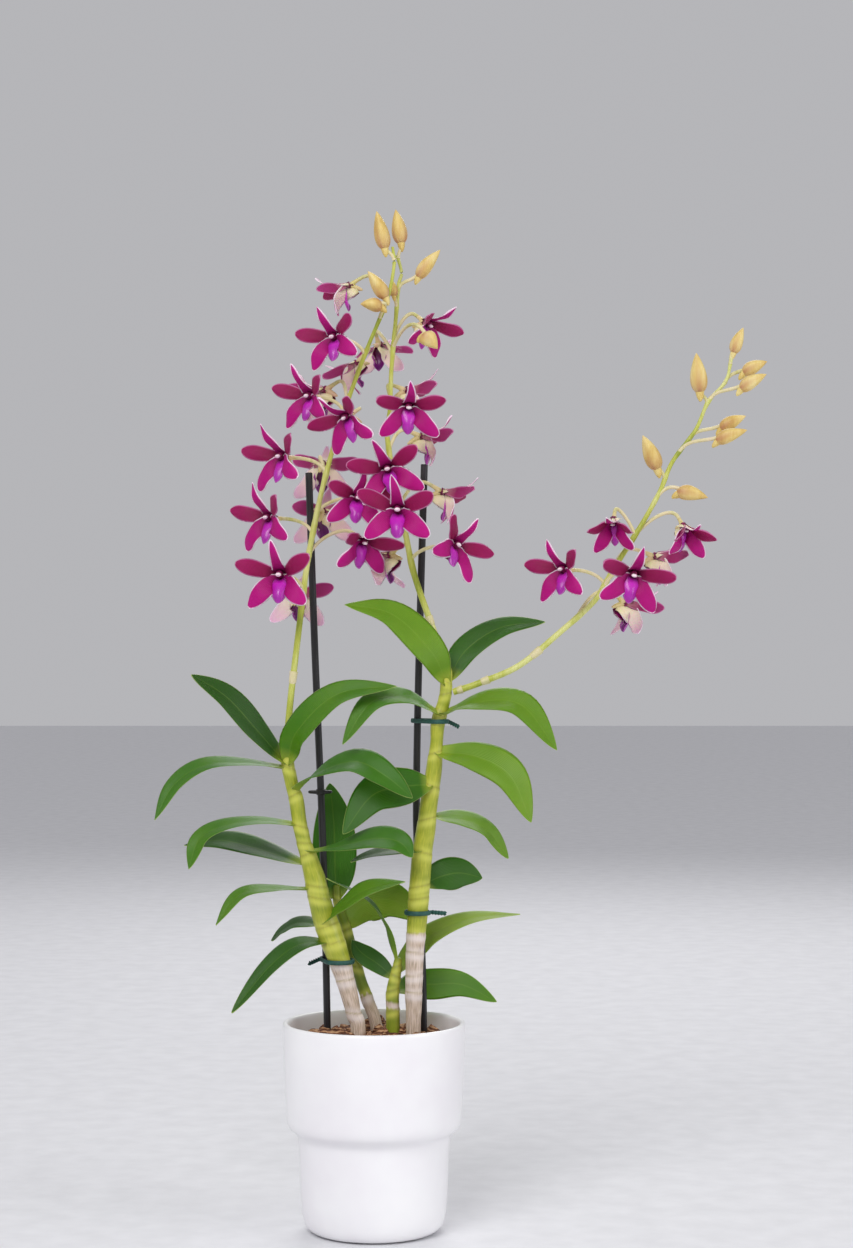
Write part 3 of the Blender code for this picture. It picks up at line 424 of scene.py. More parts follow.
def makeTepalFlesh(name):
    shades = tepalShades[name]
    material, add, shader, coords = startMaterial(name)
    across, along = add("SeparateXYZ", {}, {0: add("UVMap", {"uv_map": "flow"})}).outputs[:2]
    below = add("SeparateXYZ", {}, {0: add("UVMap", {"uv_map": "traits"})})
    fromRim = add("SeparateXYZ", {}, {0: add("UVMap", {"uv_map": "rim"})})
    patches = add("TexNoise", {"Scale": 220.0, "Detail": 4.0}, {"Vector": coords})       # 5 mm clouds
    wobble = add("Math", {"operation": "MULTIPLY_ADD", 1: 0.04}, {0: patches, 2: across})
    veinTurns = add("Math", {"operation": "MULTIPLY", 1: 88.0}, {0: wobble})             # a vein each 0.8 mm
    veins = add("Math", {"operation": "SINE"}, {0: veinTurns})
    spot = add("Math", {"operation": "MULTIPLY_ADD", 1: 0.16}, {0: patches, 2: along})
    faceStops = [(0.16, shades["throat"]), (0.42, shades["middle"]), (0.95, shades["tip"])]
    front = add("ValToRGB", {"stops": faceStops}, {"Fac": spot})
    onVein = add("MapRange", {"From Min": 0.35, "From Max": 1.0, "To Max": 0.42}, {"Value": veins})
    veined = add("Mix", {"data_type": "RGBA", 7: shades["vein"]}, {0: onVein, 6: front})
    backStops = [(0.08, shades["backRoot"]), (0.45, shades["back"]), (1.0, shades["backTip"])]
    back = add("ValToRGB", {"stops": backStops}, {"Fac": spot})
    onBackVein = add("MapRange", {"From Min": 0.3, "From Max": 1.0, "To Max": 0.30}, {"Value": veins})
    backVeined = add("Mix", {"data_type": "RGBA", 7: shades["backVein"]}, {0: onBackVein, 6: back})
    both = add("Mix", {"data_type": "RGBA"}, {0: below, 6: veined.outputs[2], 7: backVeined.outputs[2]})
    rimFade = {"From Min": 0.045, "From Max": 0.095, "To Min": shades["rimShare"], "To Max": 0.0}
    margin = add("MapRange", rimFade, {"Value": fromRim})        # 0.5 mm rim
    pastRoot = add("MapRange", {"From Min": 0.05, "From Max": 0.25}, {"Value": along})
    onRim = add("Math", {"operation": "MULTIPLY"}, {0: margin, 1: pastRoot})
    rimmed = add("Mix", {"data_type": "RGBA", 7: shades["rim"]}, {0: onRim, 6: both.outputs[2]})
    dull = add("MapRange", {"To Min": 0.36, "To Max": 0.58}, {"Value": patches})
    cells = add("TexNoise", {"Scale": 2200.0, "Detail": 2.0}, {"Vector": coords})     # 0.5 mm sparkle
    relief = add("Math", {"operation": "MULTIPLY_ADD", 1: 0.9}, {0: cells, 2: veins})
    bump = add("Bump", {"Strength": 0.35, "Distance": 0.0002}, {"Height": relief})
    add(shader, {"Specular IOR Level": 0.22, "Sheen Weight": 0.03, "Sheen Roughness": 0.4,
                 "Sheen Tint": "#f2a0dc", "Subsurface Weight": 0.15, "Subsurface Radius": (1.0, 0.25, 0.7),
                 "Subsurface Scale": 0.002, **shades.get("gloss", {})},
        {"Base Color": rimmed.outputs[2], "Roughness": dull, "Normal": bump})
    return material


sepalFlesh, petalFlesh, lipFlesh = (makeTepalFlesh(name) for name in ("sepal", "petal", "lip"))


# stem flesh: smooth, faintly ribbed and a little waxy, in three shades from cool to warm, with a blush

stemShades = {
    "flower stem": {"shades": ("#93a02e", "#b9be4c", "#d8d98e"), "scale": 60.0, "dull": 0.38},
    "flower stalk": {"shades": ("#b9b86a", "#d8cf9c", "#e3d3b0"), "scale": 90.0, "dull": 0.42},
    "ovary and chin": {"shades": ("#c9c36c", "#dccf94", "#e4c3a4"), "scale": 170.0, "dull": 0.42},
    "column": {"shades": ("#4c0428", "#6d0a40", "#96185f"), "scale": 400.0, "dull": 0.35},
    "anther cap": {"shades": ("#f2c4dc", "#fae6ee", "#fdf6f4"), "scale": 900.0, "dull": 0.3},
    "bud": {"shades": ("#ccac58", "#e0c672", "#ecdc96"), "scale": 120.0, "dull": 0.42, "blush": "#b87a5c"},
}


def makeStemFlesh(name):
    plan = stemShades[name]
    material, add, shader, coords = startMaterial(name)
    drawn = add("Mapping", {"Scale": (1.0, 1.0, 0.35)}, {"Vector": coords})
    wide = add("TexNoise", {"Scale": plan["scale"], "Detail": 4.0}, {"Vector": drawn})
    ribbed = add("Mapping", {"Scale": (1.0, 1.0, 0.12)}, {"Vector": coords})
    ribs = add("TexNoise", {"Scale": 900.0, "Detail": 2.0}, {"Vector": ribbed})          # ribs 1.1 mm apart
    mixed = add("Math", {"operation": "MULTIPLY_ADD", 1: 0.25}, {0: ribs, 2: wide})
    colour = add("ValToRGB", {"stops": list(zip((0.42, 0.6, 0.8), plan["shades"]))}, {"Fac": mixed})
    blushed = add("SeparateXYZ", {}, {0: add("UVMap", {"uv_map": "traits"})})
    flushed = add("Mix", {"data_type": "RGBA", 7: plan.get("blush", "#c08478")}, {0: blushed, 6: colour})
    dull = add("MapRange", {"To Min": plan["dull"], "To Max": plan["dull"] + 0.15}, {"Value": wide})
    bump = add("Bump", {"Strength": 0.4, "Distance": 0.0002}, {"Height": ribs})
    add(shader, {"Subsurface Weight": 0.1, "Subsurface Radius": (0.6, 0.6, 0.3), "Subsurface Scale": 0.002},
        {"Base Color": flushed.outputs[2], "Roughness": dull, "Normal": bump})
    return material


stemFinishes = [makeStemFlesh(name) for name in stemShades]
stemFlesh, stalkFlesh, ovaryFlesh, columnFlesh, capFlesh, budFlesh = stemFinishes

# polypropylene rod, extruded and black: a satin skin with faint drawing lines
blackRod, add, shader, coords = startMaterial("extruded black polypropylene")
stretched = add("Mapping", {"Scale": (1.0, 1.0, 0.03)}, {"Vector": coords})
drawn = add("TexNoise", {"Scale": 700.0, "Detail": 3.0}, {"Vector": stretched})          # lines 1.4 mm apart
colour = add("ValToRGB", {"stops": [(0.3, "#121114"), (0.7, "#232126")]}, {"Fac": drawn})
rough = add("MapRange", {"To Min": 0.3, "To Max": 0.5}, {"Value": drawn})
bump = add("Bump", {"Strength": 0.25, "Distance": 0.0002}, {"Height": drawn})
add(shader, {}, {"Base Color": colour, "Roughness": rough, "Normal": bump})

# PVC-coated twist tie: flat, dull blue-green ribbon, scuffed paler along its wire
tieCoat, add, shader, coords = startMaterial("coated tie ribbon")
scuffs = add("TexNoise", {"Scale": 450.0, "Detail": 5.0, "Roughness": 0.7}, {"Vector": coords})      # 2 mm
colour = add("ValToRGB", {"stops": [(0.35, "#16413c"), (0.6, "#24594f"), (0.8, "#4f8273")]}, {"Fac": scuffs})
rough = add("MapRange", {"To Min": 0.45, "To Max": 0.7}, {"Value": scuffs})
bump = add("Bump", {"Strength": 0.3, "Distance": 0.0003}, {"Height": scuffs})
add(shader, {}, {"Base Color": colour, "Roughness": rough, "Normal": bump})
print("materials made")


# Geometry Nodes helpers: a tree with named inputs, and its result as a plain mesh

def startTree(name, inputs):
    # gives the tree, a short way to add a node to it, and its inputs by their names
    tree = bpy.data.node_groups.new(name, "GeometryNodeTree")
    tree.interface.new_socket("Geometry", in_out="INPUT", socket_type="NodeSocketGeometry")
    for label, kind in inputs.items():
        tree.interface.new_socket(label, in_out="INPUT", socket_type="NodeSocket" + kind)
    tree.interface.new_socket("Geometry", in_out="OUTPUT", socket_type="NodeSocketGeometry")

    def add(kind, settings=None, links=None):
        return addNode(tree, kind, settings, links)

    return tree, add, add("NodeGroupInput").outputs


def endTree(add, geometry, material):
    plain = add("GeometryNodeRealizeInstances", {}, {0: geometry})
    smooth = add("GeometryNodeSetShadeSmooth", {}, {0: plain})
    painted = add("GeometryNodeSetMaterial", {}, {"Geometry": smooth, "Material": material})
    add("NodeGroupOutput", {}, {0: painted})


def grow(thing, tree, settings):
    # runs a tree on an object and gives back a plain mesh piece at the origin
    name = thing.name
    modifier = thing.modifiers.new("growth", "NODES")
    modifier.node_group = tree
    for item in tree.interface.items_tree:
        if item.in_out == "INPUT" and item.name in settings:
            modifier[item.identifier] = settings[item.name]
    bpy.context.view_layer.update()
    mesh = bpy.data.meshes.new_from_object(thing.evaluated_get(bpy.context.evaluated_depsgraph_get()))
    thing.modifiers.remove(modifier)
    bpy.data.objects.remove(thing)
    mesh.name = name
    return linkNew(name, mesh)


def makePath(name, lines):
    # a curve object of open lines; each line is a list of (point, radius)
    path = bpy.data.curves.new(name, "CURVE")
    path.dimensions = "3D"
    path.twist_mode = "Z_UP"
    for line in lines:
        spline = path.splines.new("POLY")
        spline.points.add(len(line) - 1)
        for spot, (point, radius) in zip(spline.points, line):
            spot.co = (*point, 1.0)
            spot.radius = radius
    return linkNew(name, path)


# sweepTree follows paths with a round or flat section whose size is the path's own radius
sweepInputs = {"Sides": "Int", "Flatness": "Float", "Material": "Material"}
sweepTree, add, given = startTree("section along a path", sweepInputs)
circle = add("GeometryNodeCurvePrimitiveCircle", {"Radius": 1.0}, {"Resolution": given["Sides"]})
flattened = add("ShaderNodeCombineXYZ", {"Y": 1.0, "Z": 1.0}, {"X": given["Flatness"]})
section = add("GeometryNodeTransform", {}, {"Geometry": circle, "Scale": flattened})
widths = add("GeometryNodeInputRadius")
swept = add("GeometryNodeCurveToMesh", {"Fill Caps": True},
            {"Curve": given["Geometry"], "Profile Curve": section, "Scale": widths})
endTree(add, swept, given["Material"])


# pot: turned, two steps, soft shoulder and foot, rounded lip; its profile is (radius, height) in mm

potShape = {
    "sides": 128, "fine": 2,
    "outside": [
        (61.9, 145.0), (63.0, 144.6), (63.5, 143.2), (63.45, 138.0), (63.0, 124.0), (62.4, 107.9),
        (61.8, 95.0), (61.2, 84.2), (60.9, 79.0), (60.2, 75.2), (58.6, 72.0), (55.2, 68.9), (53.4, 66.4),
        (52.7, 63.2), (52.3, 58.0), (52.0, 50.0), (51.6, 38.0), (51.0, 23.7), (50.1, 13.9), (48.3, 6.3),
        (45.8, 2.6), (42.6, 0.7), (39.4, 0.0),
    ],
    "inside": [
        (60.6, 144.7), (59.8, 143.4), (59.5, 140.0), (59.2, 124.0), (58.6, 107.9), (57.4, 84.0), (56.2, 76.0),
        (50.5, 68.0), (48.3, 60.0), (47.6, 40.0), (46.8, 20.0), (44.0, 9.0), (38.0, 5.4),
    ],
}

build = startBuild()
profile = potShape["outside"][::-1] + potShape["inside"]        # up outside, over the lip and down inside
profile = inMetres((radius, 0, z) for radius, z in profile)
count = (len(profile) - 1) * potShape["fine"]
spots = [smoothPoint(profile, i / count) for i in range(count + 1)]
addTube(build, [[circlePoint(k / potShape["sides"], spot.x) + up * spot.z for k in range(potShape["sides"])]
                for spot in spots])
finishPiece(build, "potGlazed", [whiteGlaze], ["pot"])
print("pot turned")


# bark: a lumpy bed with chips strewn over it, in mm; a lump is (noise to a mm, shift, height)

barkShape = {
    "bed": 129.2, "bedRadius": 58.6, "rings": 25, "sides": 72, "skirtShare": 0.95, "skirtFoot": 108.0,
    "lumps": [(0.13, (0, 0, 0), 2.6), (0.4, (9, 3, 1), 1.3)],
    "chips": 47.0, "chipsOver": 4.2, "density": 17000.0, "apart": 7.0, "seed": 11,
    "chipSize": (8.0, 4.8, 2.6), "chipShift": (4, 1, 7), "broken": 1.5,
    "turns": [(-1.0, -0.9, 0.0), (1.0, 0.9, 6.28)], "sizes": [(0.5, 0.6, 0.6), (1.15, 1.3, 1.5)],
}

build = startBuild()
bedRings = []
for i in range(barkShape["rings"]):           # from the wall in to the middle
    reach = barkShape["bedRadius"] * (1 - i / barkShape["rings"])
    ring = []
    for k in range(barkShape["sides"]):
        spot = circlePoint(k / barkShape["sides"], reach)
        rise = sum(noise.noise(spot * fine + Vector(at)) * tall for fine, at, tall in barkShape["lumps"])
        ring.append((spot + up * (barkShape["bed"] + rise * min(1.0, 0.35 + i / 8))) * mm)
    bedRings.append(ring)
skirt = [p.xy.to_3d() * barkShape["skirtShare"] + up * barkShape["skirtFoot"] * mm for p in bedRings[0]]
addTube(build, [skirt] + bedRings)
finishPiece(build, "barkBed", [firBark], ["bark"])

chipMesh = bpy.data.meshes.new("chip")
noise.seed_set(barkShape["seed"])        # else the noise below differs from run to run
work = bmesh.new()
bmesh.ops.create_cube(work, size=2.0)
bmesh.ops.subdivide_edges(work, edges=work.edges, cuts=2, use_grid_fill=True)
for corner in work.verts:
    wild = noise.noise_vector(corner.co * 1.3 + Vector(barkShape["chipShift"])) * barkShape["broken"]
    rounded = corner.co * (1 - 0.18 * (corner.co.length - 1))
    corner.co = (rounded * Vector(barkShape["chipSize"]) + wild) * mm
work.to_mesh(chipMesh)
work.free()
chip = linkNew("chip", chipMesh)

chipInputs = {"Density": "Float", "Seed": "Int", "Chip": "Object", "Clear": "Float", "Material": "Material"}
chipTree, add, given = startTree("chips strewn on a bed", chipInputs)
strewn = add("GeometryNodeDistributePointsOnFaces", {"distribute_method": "POISSON"},
             {"Mesh": given["Geometry"], "Seed": given["Seed"], "Density Max": given["Density"],
              "Distance Min": given["Clear"]})
shape = add("GeometryNodeObjectInfo", {"As Instance": True}, {"Object": given["Chip"]})
turns, sizes = (add("FunctionNodeRandomValue", {"data_type": "FLOAT_VECTOR", 0: least, 1: most},
                    {"Seed": given["Seed"]}) for least, most in (barkShape["turns"], barkShape["sizes"]))
placed = add("GeometryNodeInstanceOnPoints", {},
             {"Points": strewn.outputs["Points"], "Instance": shape.outputs["Geometry"], "Rotation": turns,
              "Scale": sizes})
endTree(add, placed, given["Material"])
discMesh = bpy.data.meshes.new("barkChips")
work = bmesh.new()
bmesh.ops.create_circle(work, cap_ends=True, segments=48, radius=barkShape["chips"] * mm)
bmesh.ops.translate(work, verts=work.verts, vec=up * (barkShape["bed"] + barkShape["chipsOver"]) * mm)
work.to_mesh(discMesh)
work.free()
chips = grow(linkNew("barkChips", discMesh), chipTree,
             {"Density": barkShape["density"], "Seed": barkShape["seed"], "Chip": chip,
              "Clear": barkShape["apart"] * mm, "Material": firBark})
chips.data.polygons.foreach_set("use_smooth", [False] * len(chips.data.polygons))
settle(chips, ["bark"])
bpy.data.objects.remove(chip)
print("bark strewn:", len(chips.data.polygons), "faces")


# leaves: the same blade everywhere; a leaf is (midrib in mm from the sheath to the tip, full width,
# turn of the face to the front at the sheath and at the tip in degrees, paleness)

leafForm = {
    "rows": 30, "columns": 12, "crowd": 0.95, "thickness": 0.9 * mm, "keel": 0.35 * mm,
    "waves": 1.3, "wave": 0.5 * mm,
    "outline": lambda s: (0.27 * (1 - s) ** 2 + 0.99 * max(math.sin(math.pi * s ** 1.02), 0.0) ** 0.72
                          * (1 - 0.4 * math.exp(-s / 0.13))),
    "lift": lambda s: 0.27 + 0.9 * math.exp(-s / 0.05),
    "curl": lambda s: 0.10,
}


def addLeaf(build, leaf, shake):
    points, width, turnFoot, turnTip, paleness = leaf

    def face(share):
        turn = math.radians(turnFoot + (turnTip - turnFoot) * share)
        return Vector((0, -math.sin(turn), math.cos(turn)))

    addBlade(build, inMetres(points), face, dict(leafForm, width=width * mm), 1, paleness, shake)


# canes: stations (x, y, z, diameter) in mm from the bark to the top; joints are (height, direction in
# degrees of the sheath's mouth, how far the mouth slants); dry is the height where the paper sheaths end
# and how ragged that end is; husk is the height of a dry ring

canes = {
    "caneLeft": {
        "node": "cane_left", "dry": (186.0, 2.0), "greener": (0.0, 0.2), "seed": 3,
        "stations": [
            (-10, 0, 64, 10), (-11, 0, 136, 10.4), (-14, 0, 150, 10.6), (-18, 0, 167, 12.2),
            (-23, 0, 184, 14.6), (-29, -1, 202, 16.9), (-34, -1, 216, 16.7), (-38, -1, 230, 15.2),
            (-41, -1, 244, 14.8), (-45, -1, 258, 11.8), (-49, -1, 271, 9.9), (-52, -1, 285, 10.3),
            (-54, -1, 299, 10), (-57, -1, 310, 9.2), (-60, -1, 324, 9), (-60.6, -1, 337, 8.2),
        ],
        "joints": [
            (152, 180, 1.5), (175, 0, 1.5), (187, 180, 1.0), (202, 0, 2.5), (214, 0, 4.0), (233, 180, 3.0),
            (241, 180, 2.5), (264, 0, 4.0), (270, 180, 1.0), (283, 180, 3.5), (305, 0, 4.0), (324, 180, 4.0),
            (332, 0, 4.0),
        ],
        "leaves": [
            ([(-61, -2, 324), (-80, -12, 347), (-101, -20, 371), (-125, -26, 387)], 22, 35, 48, 0.0),
            ([(-60, -1, 321), (-86, -8, 325), (-116, -14, 324), (-137, -20, 311), (-150, -26, 287)],
             20, 14, 26, 0.35),
            ([(-52, -1, 281), (-77, -8, 285), (-103, -14, 282), (-120, -18, 273), (-127, -22, 253)],
             20, 14, 24, 0.4),
            ([(-46, 0, 253), (-79, 14, 263), (-108, 22, 269), (-135, 30, 265)], 22, 26, 34, 0.1),
            ([(-41, -1, 237), (-68, -10, 238), (-92, -18, 235), (-108, -26, 215)], 18, 8, 16, 0.45),
            ([(-34, 1, 211), (-52, 14, 212), (-63, 20, 207), (-73, 26, 198)], 18, 24, 30, 0.1),
            ([(-30, -2, 200), (-51, -12, 200), (-71, -20, 186), (-97, -28, 155)], 21, 14, 24, 0.1),
            ([(-60, -3, 325), (-53, -15, 347), (-25, -22, 373), (16, -26, 379)], 24, 50, 40, 0.42),
            ([(-55, -2, 304), (-40, -14, 318), (-13, -24, 327), (8, -32, 318), (27, -37, 303)],
             25, 4, 66, 0.3),
            ([(-48, -2, 262), (-23, -14, 268), (1, -22, 274), (18, -28, 272), (27, -31, 262)],
             23, 8, 60, 0.3),
            ([(-37, -3, 212), (-20, -14, 228), (-4, -21, 239), (22, -27, 245)], 21, 30, 30, 0.5),
        ],
    },
    "caneRight": {
        "node": "cane_right", "dry": (207.0, 1.4), "greener": (0.0, 0.1), "seed": 5,
        "stations": [
            (27, 0, 64, 10), (27.4, 0, 139, 10.3), (27.6, 0, 153, 11), (27.6, 0, 167, 11.8),
            (28.5, 0, 195, 12.6), (29.3, 0, 206, 13.4), (31, 0, 230, 14.3), (32, 0, 244, 14.3),
            (33.7, 0, 264, 13.9), (36, 0, 278, 13.2), (37.5, 0, 292, 12.2), (39.6, 0, 306, 11.6),
            (41.7, 0, 320, 11.1), (43.4, 0, 338, 9), (44.8, 0, 355, 9.6), (49, 0, 369, 8.4),
            (50.4, 0, 383, 8.2), (50.2, 0, 392, 7.6),
        ],
        "joints": [
            (166, 180, 1.0), (178, 0, 1.0), (194, 180, 1.2), (207, 180, 1.0), (232, 0, 2.0), (241, 0, 3.0),
            (265, 180, 3.5), (288, 0, 3.5), (311, 180, 3.5), (334, 0, 3.5), (358, 0, 3.0), (363, 180, 4.0),
            (374, 0, 2.0), (383, 180, 3.5), (390, 0, 3.0),
        ],
        "leaves": [
            ([(50, -2, 381), (40, -13, 402), (13, -16, 428), (-20, -20, 435)], 24, 62, 50, 0.62),
            ([(46, -4, 358), (22, -14, 371), (-2, -22, 367), (-21, -28, 339)], 21, 28, 36, 0.4),
            ([(40, -3, 310), (22, -8, 309), (-1, -13, 303), (-21, -20, 277)], 28, 60, 78, 0.2),
            ([(34, -3, 263), (17, -8, 265), (-1, -10, 262), (-16, -12, 257)], 20, 20, 10, 0.2),
            ([(51, 1, 381), (64, 9, 403), (89, 15, 419), (120, 20, 423)], 22, 48, 36, 0.12),
            ([(47, -2, 358), (69, -15, 367), (101, -21, 366), (126, -26, 335)], 25, 15, 56, 0.6),
            ([(43, -1, 332), (70, -12, 330), (94, -24, 317), (108, -34, 286)], 26, 46, 62, 0.68),
            ([(38, 0, 287), (60, 8, 285), (79, 12, 277), (94, 16, 257)], 21, 26, 36, 0.62),
            ([(33, 3, 239), (46, 17, 244), (60, 25, 246), (76, 31, 242)], 23, 74, 78, 0.15),
        ],
    },
    "caneBack": {
        "node": "cane_back", "dry": (161.0, 3.0), "greener": (0.75, 0.9), "seed": 7,
        "stations": [
            (4, 21, 64, 9), (2, 22, 132, 8.6), (-5, 22, 157, 8.6), (-10, 22, 171, 8.4), (-17, 22, 195, 8),
            (-21, 22, 210, 7.4), (-26, 23, 225, 6.4), (-27, 24, 238, 5),
        ],
        "joints": [(162, 0, 3.0), (182, 180, 2.0), (208, 0, 3.0), (228, 180, 2.0)],
        "leaves": [
            ([(-27, 24, 228), (-28, 26, 248), (-29, 29, 280), (-32, 33, 309)], 30, 86, 88, 0.3),
            ([(-21, 24, 207), (-9, 31, 222), (11, 35, 226), (35, 38, 211)], 28, 72, 76, 0.75),
        ],
    },
    "newShoot": {
        "node": "new_shoot", "husk": 156.0, "dry": (120.0, 3.0), "greener": (0.45, 0.7), "seed": 9,
        "stations": [
            (12, 5, 64, 8), (13, 5, 135, 9.6), (13, 5, 152, 9.4), (13, 5, 166, 9), (15, 5, 177, 7.4),
            (17, 5, 189, 5),
        ],
        "joints": [(154, 0, 2.5), (168, 0, 3.0), (178, 180, 3.0), (184, 0, 2.0)],
        "leaves": [
            ([(16, 5, 184), (8, 0, 212), (-6, -2, 231), (-33, -4, 245)], 13, 2, 6, 0.1),
            ([(14, 7, 174), (3, 12, 183), (-9, 14, 191), (-16, 15, 200)], 15, 52, 66, 0.1),
            ([(15, 7, 176), (26, 24, 189), (40, 30, 202), (68, 32, 213), (103, 34, 216)], 20, 34, 26, 0.8),
            ([(14, 7, 164), (26, 24, 166), (41, 28, 167), (62, 25, 167), (86, 18, 156)], 22, 60, 74, 0.45),
        ],
    },
}
# ledge and waist are mm that a sheath stands off the cane and that the cane above draws in; a band of pale
# skin is (mm past the mouth, half width, strength)
caneForm = {
    "bottom": 112.0, "step": 0.9, "sides": 36, "least": 0.6, "lumps": 0.25,
    "ledge": 0.34, "sheathReach": 5.0, "waist": 0.14, "waistReach": 2.2, "near": (-25, 14),
    "mouth": (0.2, 0.55, 0.45), "bands": [(-3, 2.6, 0.75), (2, 2.2, 0.5)], "husk": 2.2,
}


def sheathsAt(joints, height, turn):
    # how far the skin stands off at one point, and how strong the mouth's line and the pale bands are there
    extra, mouth, glow = 0.0, 0.0, 0.0
    line, lineWidth, lineStrength = caneForm["mouth"]
    for jointHeight, jointTurn, slant in joints:
        past = height - (jointHeight - slant * 0.5 * (1 - math.cos(math.radians(turn - jointTurn))))
        if caneForm["near"][0] < past < caneForm["near"][1]:
            inside = 1 / (1 + math.exp(past / 0.35))          # 1 inside the sheath, 0 above its mouth
            extra += caneForm["ledge"] * inside * math.exp(past / caneForm["sheathReach"])
            extra -= caneForm["waist"] * (1 - inside) * math.exp(-past / caneForm["waistReach"])
            mouth = max(mouth, hump(past, line, lineWidth))
            for middle, wide, strength in caneForm["bands"]:
                glow = max(glow, strength * hump(past, middle, wide))
    return extra, mouth * lineStrength, glow


def caneRing(plan, here, run, base):
    # the radii of one ring of a cane, and for each side how dry, lined, pale and green its skin is
    dryTop, scallop = plan["dry"]
    palest, greenest = plan["greener"]
    radii, notes = [], []
    for k in range(caneForm["sides"]):
        turn = 360 * k / caneForm["sides"]
        height = here.z / mm + base * math.cos(math.radians(turn)) * run.x * -0.8
        extra, mouth, glow = sheathsAt(plan["joints"], height, turn)
        spot = circlePoint(k / caneForm["sides"]) + up * height * 0.06
        extra += caneForm["lumps"] * noise.noise(spot * 1.2 + Vector((plan["seed"], 0, 0)))
        radii.append(max(base + extra, caneForm["least"]) * mm)
        ragged = dryTop + scallop * noise.noise(spot * 2.3) * 1.6
        dry = 1 / (1 + math.exp(min(max((height - ragged) / 0.25, -30), 30)))
        fromHusk = height + 2.0 * noise.noise(spot * 2.0) - plan.get("husk", 0.0)
        dry = max(dry, math.exp(-(fromHusk / caneForm["husk"]) ** 4))
        notes.append((dry, mouth, glow, palest + (greenest - palest) * (0.5 + noise.noise(spot * 0.9))))
    return radii, notes


for name, plan in canes.items():
    shake = random.Random(plan["seed"])
    build = startBuild()
    line = inMetres(plan["stations"])
    diameters = [station[3] for station in plan["stations"]]
    start = shareAtHeight(line, caneForm["bottom"] * mm)
    count = int(smoothLength(line, start, 60) / mm / caneForm["step"])
    rings, notes = [], []
    for i in range(count + 1):
        share = start + (1 - start) * i / count
        here, run = smoothPoint(line, share), smoothRun(line, share)
        closing = max(0.0, (i / count - 0.985) / 0.015)          # the top rounds off
        base = smoothNumber(diameters, share) / 2 * math.sqrt(1 - 0.85 * closing * closing)
        radii, note = caneRing(plan, here, run, base)
        rings.append(ringAround(here, run, radii))
        notes.append(note)
    addTube(build, rings, 0, lambda i, k: notes[i][k])
    for leaf in plan["leaves"]:
        addLeaf(build, leaf, shake)
    finishPiece(build, name, [caneSkin, leafFlesh], [plan["node"]])
    print(name, "grown with", len(plan["leaves"]), "leaves,", len(build["faces"]), "faces")


# flower stems: each stem, its stalks and its buds are three pieces that stand for one spray; a bloom is
# (throat in mm, the way it faces, how far it looks up, roll, size, openness), a bud (foot, tip, diameter),
# a sleeve the share of the stem where a papery bract ends

